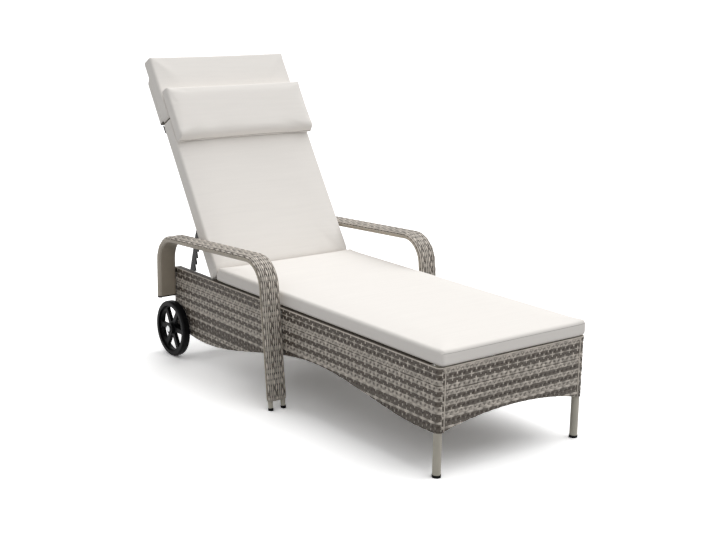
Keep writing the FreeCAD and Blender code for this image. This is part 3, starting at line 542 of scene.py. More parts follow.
def strands(
    centre: np.ndarray,
    out: np.ndarray,
    across: np.ndarray,
    width: np.ndarray,
    thickness: float,
    tone: np.ndarray,
    ring: np.ndarray = FLAT_STRAND,
) -> Surface:
    """Carry a cross-section along many strands at once.

    A point of strand r at station s is its centre, plus across times the ring's first number times
    half the width, plus out times its second number times half the thickness.

    Args:
        centre: Middle of each strand, as strands by stations by XYZ.
        out: Direction off the woven face, in the same form or one that spreads to it.
        across: Direction across the strand, likewise.
        width: Width of each strand, or of each strand at each station.
        thickness: Thickness of all of them.
        tone: Share of dark of each strand, or also of each station, or also of each ring point.
        ring: The cross-section, a closed ring of an even number of points, counterclockwise.

    Returns:
        The strands with closed ends, marked with their tone and a shade of their own.
    """
    count, stations = centre.shape[:2]
    corners = len(ring)
    out = np.broadcast_to(out, centre.shape)
    across = np.broadcast_to(across, centre.shape)
    half = np.broadcast_to(width.reshape(count, -1) / 2, (count, stations))
    sideways = across[:, :, None, :] * (half[:, :, None] * ring[:, 0])[..., None]
    outwards = out[:, :, None, :] * (ring[:, 1] * thickness / 2)[:, None]
    points = centre[:, :, None, :] + sideways + outwards

    number = np.arange(count * stations * corners).reshape(count, stations, corners)
    around = np.roll(number, -1, axis=2)
    walls = np.stack([number[:, :-1], number[:, 1:], around[:, 1:], around[:, :-1]], axis=-1)
    near = np.arange(corners // 2 - 1)
    cap = np.stack([near, near + 1, corners - 2 - near, corners - 1 - near], axis=1)
    ends = [number[:, 0][:, cap].reshape(-1, 4), number[:, -1][:, cap[:, ::-1]].reshape(-1, 4)]
    faces = np.concatenate([walls.reshape(-1, 4), *ends])

    heading = np.gradient(centre, axis=1)
    turn = np.einsum("rsi,rsi->", heading, np.cross(across, out))
    if turn > 0:
        faces = faces[:, ::-1]

    run = np.linalg.norm(np.diff(centre, axis=1, prepend=centre[:, :1]), axis=2).cumsum(axis=1)
    place = np.empty((count, stations, corners, 2))
    place[..., 0] = run[:, :, None]
    place[..., 1] = np.arange(count)[:, None, None] * STRAND_APART + ring[:, 0] / 2
    shades = tone.reshape(tone.shape + (1,) * (3 - tone.ndim))
    spread = np.random.default_rng(SEED).uniform(0, SHADE_RANGE, count)
    return Surface(
        points.reshape(-1, 3),
        faces,
        place.reshape(-1, 2)[faces],
        {
            "tone": np.broadcast_to(shades, number.shape).ravel(),
            "shade": np.repeat(spread, stations * corners),
        },
    )


# Weaving
@dataclass(frozen=True)
class Band:
    """Neighbouring rows of one tone in a woven panel."""

    tone: Tone
    rows: int
    fine: bool = False


# Rows of the skirt from its top edge down, dark and light in turn, with two fine rows among them
SKIRT_BANDS = (
    Band(Tone.DARK, 2),
    Band(Tone.LIGHT, 1, fine=True),
    Band(Tone.DARK, 2),
    Band(Tone.LIGHT, 2),
    Band(Tone.DARK, 1, fine=True),
    Band(Tone.LIGHT, 2),
    Band(Tone.DARK, 2),
    Band(Tone.LIGHT, 2),
    Band(Tone.DARK, 2),
    Band(Tone.LIGHT, 3),
    Band(Tone.DARK, 3),
    Band(Tone.LIGHT, 1),
    Band(Tone.DARK, 4),
    Band(Tone.LIGHT, 2),
    Band(Tone.DARK, 2),
    Band(Tone.LIGHT, 2),
)


@dataclass(frozen=True)
class Rows:
    """The rows of a panel, in order from its top edge.

    Attributes:
        depth: Distance of each row's middle below the top edge.
        width: Width of each row.
        tone: Share of dark of each row.
        hollow_shade_side: Which way it lies from a hollow beside it, where shade is painted: above -1,
            below 1, or 0 without a hollow.
        shift: Place of its painted-shade hollows along it, as a share of the stakes' distance.
    """

    depth: np.ndarray
    width: np.ndarray
    tone: np.ndarray
    hollow_shade_side: np.ndarray
    shift: np.ndarray


@dataclass(frozen=True)
class Weave:
    """A plain weave of flat strands round stakes, laid out on any path.

    Attributes:
        pitch: Distance from one row to the next.
        fine_pitch: Height of a fine row.
        lap: How far a row overlaps the next, so that no light comes through.
        thickness: Thickness of a strand.
        stake_pitch: Distance from one stake to the next.
        stake_width: Width of a stake.
        stake_tones: Lowest and highest share of dark of a stake.
        swing: How far a row stands off the middle as it passes a stake.
        behind_shade: Painted shade: how much darker a light row is drawn where it goes behind a stake.
        shown: Share of every other stake that a dark row goes behind, so that the stake shows.
        steep: How steeply the painted shade of a hollow grows from a strand's middle to its edge beside
            the hollow.
        steps: Stations from one stake to the next.
        cap: Height of the binding strand along the top edge.
    """

    pitch: float = 7.4 * MM
    fine_pitch: float = 3.0 * MM
    lap: float = 0.8 * MM
    thickness: float = 1.0 * MM
    stake_pitch: float = 18 * MM
    stake_width: float = 5.0 * MM
    stake_tones: tuple[float, float] = (0.0, 0.6)
    swing: float = 0.9 * MM
    behind_shade: float = 0.4
    shown: float = 0.92
    steep: float = 1.6
    steps: int = 4
    cap: float = 4 * MM

    def rows(self, bands: Sequence[Band], top: float) -> Rows:
        """Lay the rows of the bands one under the other.

        Args:
            bands: Bands from the top edge down.
            top: Depth at which the first row starts.

        Returns:
            The rows.
        """
        counts = [band.rows for band in bands]
        heights = np.repeat([self.fine_pitch if band.fine else self.pitch for band in bands], counts)
        tone = np.repeat([band.tone.value for band in bands], counts)
        place = np.concatenate([np.arange(count) for count in counts])
        # The two rows of a pair get a hollow of painted shade between them
        paired = place // 2 * 2 + 1 < np.repeat(counts, counts)
        hollow_shade_side = np.where(paired, 2 * (place % 2) - 1, 0)
        return Rows(
            depth=top + np.cumsum(heights) - heights / 2,
            width=heights + self.lap,
            tone=tone,
            hollow_shade_side=hollow_shade_side,
            shift=np.cumsum(hollow_shade_side < 0) % 2 / 2,
        )

    def stations(self, start: float, end: float) -> np.ndarray:
        """Divide a run into stations, with a stake at both ends and at every few stations between."""
        gaps = round((end - start) / self.stake_pitch)
        return np.linspace(start, end, gaps * self.steps + 1)

    def swings(self, rows: Rows, stakes: int) -> np.ndarray:
        """Work out how far each row stands off the middle at each station.

        Light rows pass behind every other stake. Dark rows float in front of some of those too. The
        stakes that they do go behind show as light dots in the dark row. Between two stakes the row
        eases from one side to the other along half a cosine.

        Args:
            rows: The panel's rows.
            stakes: Number of stakes.

        Returns:
            The offset of each row at each station.
        """
        row, stake = np.ogrid[: len(rows.tone), :stakes]
        plain = np.where((row + stake) % 2 == 0, 1.0, -1.0)
        chance = np.random.default_rng(SEED).random(plain.shape)
        floats = np.where((plain < 0) & (chance < self.shown), -1.0, 1.0)
        sides = np.where(rows.tone[:, None] == Tone.DARK.value, floats, plain)
        along = np.linspace(0, stakes - 1, (stakes - 1) * self.steps + 1)
        before = np.minimum(along.astype(int), stakes - 2)
        ease = (1 - np.cos(math.pi * (along - before))) / 2
        return self.swing * (sides[:, before] * (1 - ease) + sides[:, before + 1] * ease)

    def shade_behind(self, tone: np.ndarray, swings: np.ndarray) -> np.ndarray:
        """Paint shade onto strands where they go behind, as a share of what is left to full dark."""
        behind = (1 - swings / self.swing) / 2
        return tone[:, None] + self.behind_shade * behind * (1 - tone[:, None])

    def panel(
        self,
        path: np.ndarray,
        out: np.ndarray,
        down: np.ndarray,
        bands: Sequence[Band],
        edge: np.ndarray,
        capped: bool = True,
    ) -> Surface:
        """Weave a panel that hangs from a path and is cut along a lower edge.

        Row r at station s lies at path(s) + down * depth(r) + out * swing(r, s). The two rows of a pair
        are painted in shade towards each other once for each stake, for the hollow between them, as the
        fourth power of a sine, and the painted hollows of the next pair lie half way between them.
        Strands are also painted darker where they go behind a stake. Whatever would hang past the edge
        is drawn up onto it, and faces that lie wholly on it are left out.

        Args:
            path: Top edge's points at every station.
            out: Direction off the panel, one for all stations or for each.
            down: Direction from the top edge to the lower edge.
            bands: Rows from the top edge down.
            edge: Depth of the lower edge at every station.
            capped: Whether a binding strand runs along the top edge.

        Returns:
            The woven panel.
        """
        top = self.cap if capped else 0.0
        rows = self.rows(bands, top)
        stations = len(path)
        stakes = (stations - 1) // self.steps + 1
        swings = self.swings(rows, stakes)
        centre = path + down * rows.depth[:, None, None] + out * swings[..., None]
        # Painted shade of the hollows, once for each stake, on the strand's edge that faces the hollow;
        # strands that go behind a stake are painted darker too
        between = np.sin(math.pi * (np.arange(stations) / self.steps + rows.shift[:, None])) ** 4
        beside = np.clip(-rows.hollow_shade_side[:, None] * FLAT_STRAND[:, 0] * self.steep, 0, 1)
        hollow = between[:, :, None] * beside[:, None, :]
        tone = self.shade_behind(rows.tone, swings)[..., None] * (1 - hollow) + Tone.HOLLOW_SHADE.value * hollow
        woven = strands(centre, out, down, rows.width, self.thickness, tone)
        corners = len(FLAT_STRAND)
        limit = np.tile(np.repeat(edge, corners), len(rows.depth))
        start = np.tile(np.repeat(path, corners, axis=0), (len(rows.depth), 1))
        past = np.maximum((woven.points - start) @ down - limit, 0)
        woven.points -= past[:, None] * down
        kept = (past[woven.faces] == 0).any(axis=1)
        woven.faces, woven.uv = woven.faces[kept], woven.uv[kept]

        parts = [woven, self.stakes(path, out, down, top, edge)]
        if capped:
            parts.append(self.binding(path + down * top / 2, out, down))
        return Surface.joined(parts)

    def stakes(
        self, path: np.ndarray, out: np.ndarray, down: np.ndarray, top: float, edge: np.ndarray
    ) -> Surface:
        """Stand a stake at every few stations of the path, from under the cap to the lower edge.

        Args:
            path: Top edge's points at every station.
            out: Direction off the panel, one for all stations or for each.
            down: Direction from the top edge to the lower edge.
            top: Depth at which the stakes start.
            edge: Depth of the lower edge at every station.

        Returns:
            The stakes.
        """
        at = np.arange(0, len(path), self.steps)
        ends = np.stack([np.full(len(at), top), edge[at]], axis=1)
        heading = unit(np.gradient(path, axis=0))
        middle = path[at][:, None] + down * ends[..., None]
        return strands(
            middle,
            np.broadcast_to(out, path.shape)[at][:, None],
            heading[at][:, None],
            np.full(len(at), self.stake_width),
            self.thickness,
            np.random.default_rng(SEED).uniform(*self.stake_tones, len(at)),
        )

    def binding(self, path: np.ndarray, out: np.ndarray, across: np.ndarray) -> Surface:
        """Lay a binding strand along an edge, as thick as the whole weave.

        Args:
            path: Middle of the strand at every station.
            out: Direction off the panel, one for all stations or for each.
            across: Direction across the strand, likewise.

        Returns:
            The strand.
        """
        return strands(
            path[None],
            out[None],
            across[None],
            np.array([self.cap]),
            2 * self.swing + self.thickness,
            np.array([Tone.LIGHT.value]),
        )


WEAVE = Weave()


def node_points(frame: dict, node: str) -> np.ndarray:
    """Return the points of a frame piece, one row of X, Y, Z each."""
    vertices = frame["nodes"][node].data.vertices
    flat = np.empty(3 * len(vertices), np.float32)
    vertices.foreach_get("co", flat)
    return flat.reshape(-1, 3).astype(float)


def settle(
    piece: bpy.types.Object,
    body: str,
    finish: Finish,
    replaced: Sequence[str] = (),
) -> bpy.types.Object:
    """Finish a new piece, let it ride on its body and stand for the frame's solids.

    Args:
        piece: The new piece.
        body: The frame's body that it moves with.
        finish: Its finish.
        replaced: Frame pieces that it stands for.

    Returns:
        The same piece.
    """
    finish.dress(piece)
    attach(piece, body)
    if replaced:
        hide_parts(*replaced)
    LOG.info("%s: %d faces on %s", piece.name, len(piece.data.polygons), body)
    return piece


@dataclass
class Skirts:
    """The woven skirts round the base and the woven deck under the seat cushion.

    Attributes:
        frame: The loaded frame, whose solids give the skirts' places.
        rim_rows: Rows that lie over the top of a side rail.
        rear_reach: How far a side skirt's rows reach past the rail's rear end.
        binding_inset: Distance of the foot skirt's upright bindings from the middle of a leg.
        binding_points: Points along such a binding.
    """

    frame: dict
    rim_rows: int = 3
    rear_reach: float = 12 * MM
    binding_inset: float = 9 * MM
    binding_points: int = 12

    def __post_init__(self) -> None:
        """Read the skirts' places from the frame's solids."""
        low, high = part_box("woven_side_left")
        leg_low, leg_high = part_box("front_leg_left")
        deck_low, deck_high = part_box("woven_seat_deck")
        self.deck_height = high.z
        self.thickness = deck_high.z - deck_low.z
        self.half_width = high.y
        self.rear = low.x
        self.corner_x = (leg_low.x + leg_high.x) / 2
        self.corner_y = (leg_low.y + leg_high.y) / 2

    def build(self) -> None:
        """Weave the two side skirts, the foot skirt and the deck."""
        for side in Side:
            piece = self.side_skirt(side).to_object(f"side_skirt_{side.word}", "strand")
            settle(piece, "base", RATTAN, [f"woven_side_{side.word}", f"corner_wrap_{side.word}"])
        foot = self.foot_skirt().to_object("foot_skirt", "strand")
        settle(foot, "base", RATTAN, ["woven_foot"])
        deck = self.deck().to_object("seat_deck_weave", "strand")
        settle(deck, "base", RATTAN, ["woven_seat_deck"])

    def lower_edge(self, node: str, axis: int, at: np.ndarray) -> np.ndarray:
        """Read the cut lower edge of a skirt from the lower half of the frame's own solid.

        Args:
            node: The skirt's solid.
            axis: The axis that the skirt runs along, 0 or 1.
            at: Places along that axis.

        Returns:
            Depth of the lower edge below the deck at each place.
        """
        points = node_points(self.frame, node)
        height = points[:, 2]
        low = points[height < (height.min() + height.max()) / 2]
        low = low[np.argsort(low[:, axis])]
        return self.deck_height - np.interp(at, low[:, axis], low[:, 2])

    def side_skirt(self, side: Side) -> Surface:
        """Weave a side skirt that runs from the rear and turns a quarter circle round the front leg.

        Args:
            side: Which side.

        Returns:
            The skirt with the rows that lie over its rail.
        """
        radius = self.half_width - self.thickness / 2 - self.corner_y
        straight = self.corner_x - self.rear + self.rear_reach
        length = straight + radius * math.pi / 2
        run = WEAVE.stations(0, length)
        turn = np.maximum(run - straight, 0) / radius
        x = self.rear - self.rear_reach + np.minimum(run, straight) + radius * np.sin(turn)
        y = side.value * (self.corner_y + radius * np.cos(turn))
        path = np.stack([x, y, np.full_like(x, self.deck_height)], axis=1)
        out = np.stack([np.sin(turn), side.value * np.cos(turn), np.zeros_like(x)], axis=1)
        edge = self.lower_edge(f"woven_side_{side.word}", 0, x)
        skirt = WEAVE.panel(path, out, -UP, SKIRT_BANDS, edge)

        level = run < straight - WEAVE.stake_pitch
        rim_path = path[level] - (out[level] + UP) * self.thickness / 2
        rim_path = rim_path[: (len(rim_path) - 1) // WEAVE.steps * WEAVE.steps + 1]
        inwards = np.array([0.0, -side.value, 0.0])
        rim_depth = np.full(len(rim_path), self.rim_rows * WEAVE.pitch)
        bands = [Band(Tone.DARK, self.rim_rows)]
        rim = Weave(shown=0.0).panel(rim_path, UP, inwards, bands, rim_depth, capped=False)
        return Surface.joined([skirt, rim])

    def foot_skirt(self) -> Surface:
        """Weave the skirt across the foot end, with one more light band and a binding at each end."""
        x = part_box("woven_foot")[1].x - self.thickness / 2
        y = WEAVE.stations(-self.corner_y, self.corner_y)
        path = np.stack([np.full_like(y, x), y, np.full_like(y, self.deck_height)], axis=1)
        front = np.array([1.0, 0.0, 0.0])
        edge = self.lower_edge("woven_foot", 1, y)
        parts = [WEAVE.panel(path, front, -UP, (Band(Tone.LIGHT, 2), *SKIRT_BANDS), edge)]
        sideways = np.array([0.0, 1.0, 0.0])
        for end in (0, -1):
            inset = path[end] * sideways * self.binding_inset / self.corner_y
            start = path[end] - inset + front * WEAVE.thickness
            upright = start - UP * np.linspace(0, edge[end], self.binding_points)[:, None]
            parts.append(WEAVE.binding(upright, front, sideways))
        return Surface.joined(parts)

    def deck(self) -> Surface:
        """Weave the deck: rows across the base, one behind the other from the foot end."""
        low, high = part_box("woven_seat_deck")
        coarse = Weave(steps=2)
        y = coarse.stations(low.y, high.y)
        path = np.stack([np.full_like(y, high.x), y, np.full_like(y, (low.z + high.z) / 2)], axis=1)
        length = high.x - low.x
        bands = [Band(Tone.LIGHT, 2)] * math.ceil(length / coarse.pitch / 2)
        backwards = np.array([-1.0, 0.0, 0.0])
        return coarse.panel(path, UP, backwards, bands, np.full(len(path), length), capped=False)


@dataclass
class ArmCovers:
    """The woven covers over the paired arm tubes, with a smooth strip along their inner face.

    Attributes:
        rear_corner: Height of the rear corner.
        front_corner: X and height of the front corner.
        front_foot: X of the point where the front leg would meet the floor.
        bare: Height at which the cover ends on the front leg.
        bend: Radius of the bends.
        cross_pitch: Distance between cross strands.
        cross_width: Width of a cross strand.
        cross_tones: Shares of dark that a cross strand can have.
        count: Strands that run along the cover.
        repeat: Strands after which their order repeats.
        woven: Strands of each repeat that weave in and out, while the rest lie on top all the way.
        top_tone: Share of dark of those that lie on top.
        behind_shade: Painted shade: how much darker a woven strand is drawn where it goes behind.
        strand_share: Share of its place that a strand fills.
        inset: Depth of the strands' middle under the cover's outside.
        shade_core_inset: Depth of the dark sheet inside the cover, which is painted shade and no real
            part.
        strip_wrap: How far round its edges the smooth strip reaches, from the underside up.
        steps: Stations from one cross strand to the next.
        bend_points: Points along a bend.
        cross_points: Points along a cross strand.
        shade_core_points: Points round the section of that sheet of painted shade.
        strip_points: Points round each edge of the smooth strip's section.
    """

    rear_corner: float = 443 * MM
    front_corner: tuple[float, float] = (37.3 * MM, 479 * MM)
    front_foot: float = 95.3 * MM
    bare: float = 36 * MM
    bend: float = 90 * MM
    cross_pitch: float = 18.5 * MM
    cross_width: float = 12 * MM
    cross_tones: tuple[float, ...] = (0.45, 0.65, 0.85)
    count: int = 16
    repeat: int = 4
    woven: int = 2
    top_tone: float = 0.05
    behind_shade: float = 0.7
    strand_share: float = 0.6
    inset: float = 1.5 * MM
    shade_core_inset: float = 3.0 * MM
    strip_wrap: float = math.radians(105)
    steps: int = 6
    bend_points: int = 40
    cross_points: int = 29
    shade_core_points: int = 16
    strip_points: int = 8

    def __post_init__(self) -> None:
        """Read the covers' section and rear end from the frame's solids, and set up their weave."""
        low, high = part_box("arm_weave_left")
        plug_low, plug_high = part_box("arm_end_plugs")
        self.middle_y = (low.y + high.y) / 2
        self.radius = (plug_high.x - plug_low.x) / 2
        self.half_flat = (high.y - low.y) / 2 - self.radius
        self.rear_x = (plug_low.x + plug_high.x) / 2
        self.rear_end = plug_high.z
        self.reach = self.half_flat + math.pi * self.radius
        self.weave = Weave(stake_pitch=self.cross_pitch, steps=self.steps, behind_shade=self.behind_shade)

    def build(self) -> None:
        """Cover both arms."""
        line, top = self.path()
        for side in Side:
            cover = self.cover(side, line, top).to_object(f"arm_cover_{side.word}", "strand")
            settle(cover, "base", RATTAN, [f"arm_weave_{side.word}"])
            strip = self.strip(side, line, top).to_object(f"arm_strip_{side.word}", "strand")
            settle(strip, "base", RATTAN_STRIP)

    def path(self) -> tuple[np.ndarray, np.ndarray]:
        """Draw the cover's middle line: straight runs with a round bend at each corner.

        Each bend is an arc that touches both of its runs. The whole line is then divided evenly,
        with a cross strand every few stations.

        Returns:
            X and Z of every station, and the direction off the top of the arm there.
        """
        front = np.array(self.front_corner)
        floor = np.array([self.front_foot, 0.0])
        foot = floor + (front - floor) * self.bare / front[1]
        points = np.array([(self.rear_x, self.rear_end), (self.rear_x, self.rear_corner), front, foot])
        pieces = [points[:1]]
        for before, corner, after in zip(points, points[1:], points[2:]):
            into, onward = unit(corner - before), unit(after - corner)
            turn = math.acos(float(into @ onward))
            centre = corner + unit(onward - into) * self.bend / math.cos(turn / 2)
            first = corner - into * self.bend * math.tan(turn / 2) - centre
            angle = np.linspace(0, turn, self.bend_points)[:, None]
            pieces.append(centre + first * np.cos(angle) + into * self.bend * np.sin(angle))
        line = np.concatenate([*pieces, points[-1:]])
        run = np.concatenate([[0], np.linalg.norm(np.diff(line, axis=0), axis=1).cumsum()])
        at = self.weave.stations(0, run[-1])
        even = np.stack([np.interp(at, run, line[:, 0]), np.interp(at, run, line[:, 1])], axis=1)
        heading = unit(np.gradient(even, axis=0))
        return even, np.stack([-heading[:, 1], heading[:, 0]], axis=1)

    def section(self, around: np.ndarray, inset: float) -> tuple[np.ndarray, np.ndarray]:
        """Place points round the cover's section, measured from the middle of its top.

        Up to the flat's half width a point is on the flat top. Beyond that it goes round a half
        circle to the edge of the flat underside.

        Args:
            around: Distances round the section, negative to one side.
            inset: How far inside the outside face the points lie.

        Returns:
            Across and up places of the points, and the direction off the face there.
        """
        angle = np.maximum(np.abs(around) - self.half_flat, 0) / self.radius
        angle = np.minimum(angle, math.pi)
        off = np.stack([np.sign(around) * np.sin(angle), np.cos(angle)], axis=-1)
        flat = np.clip(around, -self.half_flat, self.half_flat)
        return np.stack([flat, np.zeros_like(flat)], axis=-1) + off * (self.radius - inset), off

    def directions(
        self, side: Side, line: np.ndarray, top: np.ndarray
    ) -> tuple[np.ndarray, np.ndarray, np.ndarray]:
        """Turn the flat path into an arm's middle line and its two directions.

        Args:
            side: Which arm.
            line: X and Z of every station.
            top: X and Z of the direction off the arm's top.

        Returns:
            The middle and the direction off the top at every station, and the direction across.
        """
        level = np.zeros(len(line))
        middle = np.stack([line[:, 0], level + side.value * self.middle_y, line[:, 1]], axis=1)
        up = np.stack([top[:, 0], level, top[:, 1]], axis=1)
        return middle, up, np.array([0.0, side.value, 0.0])

    def cover(self, side: Side, line: np.ndarray, top: np.ndarray) -> Surface:
        """Weave one arm's cover over a dark sheet that stands for the shade inside it.

        Args:
            side: Which arm.
            line: X and Z of every station.
            top: X and Z of the direction off the arm's top.

        Returns:
            The strands along the arm, those across it, and the sheet of painted shade inside.
        """
        middle, up, across = self.directions(side, line, top)
        heading = np.stack([top[:, 1], np.zeros(len(top)), -top[:, 0]], axis=1)

        def placed(flat: np.ndarray) -> np.ndarray:
            """Put places or directions of the section at every station."""
            return flat[:, None, :1] * across + flat[:, None, 1:] * up

        spacing = 2 * self.reach / self.count
        place, off = self.section((np.arange(self.count) + 0.5) * spacing - self.reach, self.inset)
        out = placed(off)
        plain = self.weave.rows([Band(Tone.LIGHT, self.count)], 0.0)
        lifts = self.weave.swings(plain, (len(line) - 1) // self.steps + 1)
        on_top = np.arange(self.count) % self.repeat >= self.woven
        lifts[on_top] = self.weave.swing
        along = strands(
            middle + placed(place) + out * lifts[..., None],
            out,
            placed(np.stack([off[:, 1], -off[:, 0]], axis=1)),
            np.full(self.count, spacing * self.strand_share),
            self.weave.thickness,
            self.weave.shade_behind(np.where(on_top, self.top_tone, Tone.PALE.value), lifts),
        )

        at = np.arange(0, len(line), self.steps)
        around = np.linspace(-self.reach, self.reach, self.cross_points)
        round_place, round_off = self.section(around, self.inset)
        crossing_middle = (middle + placed(round_place))[:, at].swapaxes(0, 1)
        crossing = strands(
            crossing_middle,
            placed(round_off)[:, at].swapaxes(0, 1),
            heading[at][:, None],
            np.full(len(at), self.cross_width),
            self.weave.thickness,
            np.random.default_rng(SEED).choice(self.cross_tones, len(at)),
        )
        # A dark sheet of painted shade inside the cover, in the hollows' tone
        ring, _ = self.section(np.linspace(self.reach, -self.reach, self.shade_core_points), self.shade_core_inset)
        shade_core = self.moulded(middle, up, across, ring, Tone.HOLLOW_SHADE)
        return Surface.joined([along, crossing, shade_core])

    def strip(self, side: Side, line: np.ndarray, top: np.ndarray) -> Surface:
        """Lay the smooth strip that covers an arm's underside and wraps up round its edges.

        Args:
            side: Which arm.
            line: X and Z of every station.
            top: X and Z of the direction off the arm's top.

        Returns:
            The strip.
        """
        start = self.half_flat + (math.pi - self.strip_wrap) * self.radius
        around = np.linspace(start, self.reach, self.strip_points)
        outer, _ = self.section(around, 0.0)
        inner, _ = self.section(around, self.inset)
        mirror = np.array([-1.0, 1.0])
        ring = np.concatenate([inner, (inner * mirror)[::-1], outer * mirror, outer[::-1]])
        return self.moulded(*self.directions(side, line, top), ring, Tone.LIGHT)

    @staticmethod
    def moulded(
        middle: np.ndarray, up: np.ndarray, across: np.ndarray, ring: np.ndarray, tone: Tone
    ) -> Surface:
        """Carry one section of real size, given across and up from its middle, along the arm."""
        return strands(
            middle[None], up[None], across[None], np.array([2.0]), 2.0, np.array([tone.value]), ring
        )


# Cushions and cloth

# Lines that follow a sewn crease, from its middle
CREASE_LINES = np.array([-9, -5, -2, 0, 2, 5, 9]) * MM
# Lines over a cushion's rounded upper edge, and over its lower one
EDGE_LINES = 5
UNDER_LINES = 4
# Power of the curve that a top panel rises to its crown by
CROWN_POWER = 8
# Steps that the cloth takes to swell
FILLING_STEPS = 20


@dataclass(frozen=True)
class Bed:
    """A plane that cushions lie on, with directions along it, across it and off it."""

    origin: np.ndarray
    along: np.ndarray
    across: np.ndarray
    off: np.ndarray

    def measured(self, points: np.ndarray) -> np.ndarray:
        """Return points as distances along, across and off the bed."""
        return (points - self.origin) @ np.stack([self.along, self.across, self.off], axis=1)

    def box(self, frame: dict, node: str) -> tuple[np.ndarray, np.ndarray]:
        """Return a frame piece's lowest and highest distances along, across and off the bed."""
        local = self.measured(node_points(frame, node))
        return local.min(axis=0), local.max(axis=0)

    def placed(self, distances: np.ndarray) -> np.ndarray:
        """Return the part's own places of points given as distances along, across and off the bed."""
        return self.origin + distances @ np.stack([self.along, self.across, self.off])


def seat_bed() -> Bed:
    """Return the level bed under the seat cushion."""
    return Bed(np.zeros(3), np.array([1.0, 0.0, 0.0]), np.array([0.0, 1.0, 0.0]), UP)


def back_bed(frame: dict) -> Bed:
    """Return the raised backrest's middle plane, measured up from the hinge line.

    Args:
        frame: The loaded frame, whose recline joint says how far the backrest can fall from there.

    Returns:
        The bed.
    """
    joint = next(joint for joint in frame["joints"] if joint["name"] == "backrest_recline")
    angle = math.radians(joint["range_deg"][1])
    return Bed(
        np.array(joint["pos_m"]),
        np.array([-math.cos(angle), 0.0, math.sin(angle)]),
        np.array([0.0, -1.0, 0.0]),
        np.array([math.sin(angle), 0.0, math.cos(angle)]),
    )


@dataclass
class BackPanel:
    """The woven panel between the backrest's tubes."""

    frame: dict
    bed: Bed

    def build(self) -> None:
        """Weave rows across the backrest from its top tube down to the hinge."""
        low, high = self.bed.box(self.frame, "woven_back")
        across = WEAVE.stations(low[1], high[1])
        top = np.stack(np.broadcast_arrays(high[0], across, (low[2] + high[2]) / 2), axis=1)
        path = self.bed.placed(top)
        length = float(high[0] - low[0])
        edge = np.full(len(path), length)
        bands = self.bands(length)
        weave = WEAVE.panel(path, -self.bed.off, -self.bed.along, bands, edge, capped=False)
        settle(weave.to_object("back_panel", "strand"), "backrest", RATTAN, ["woven_back"])

    @staticmethod
    def bands(length: float) -> list[Band]:
        """Repeat the skirt's bands until they are as long as the panel."""
        bands: list[Band] = []
        while WEAVE.rows([*bands, SKIRT_BANDS[0]], 0.0).depth[-1] < length:
            bands.append(SKIRT_BANDS[len(bands) % len(SKIRT_BANDS)])
        return bands


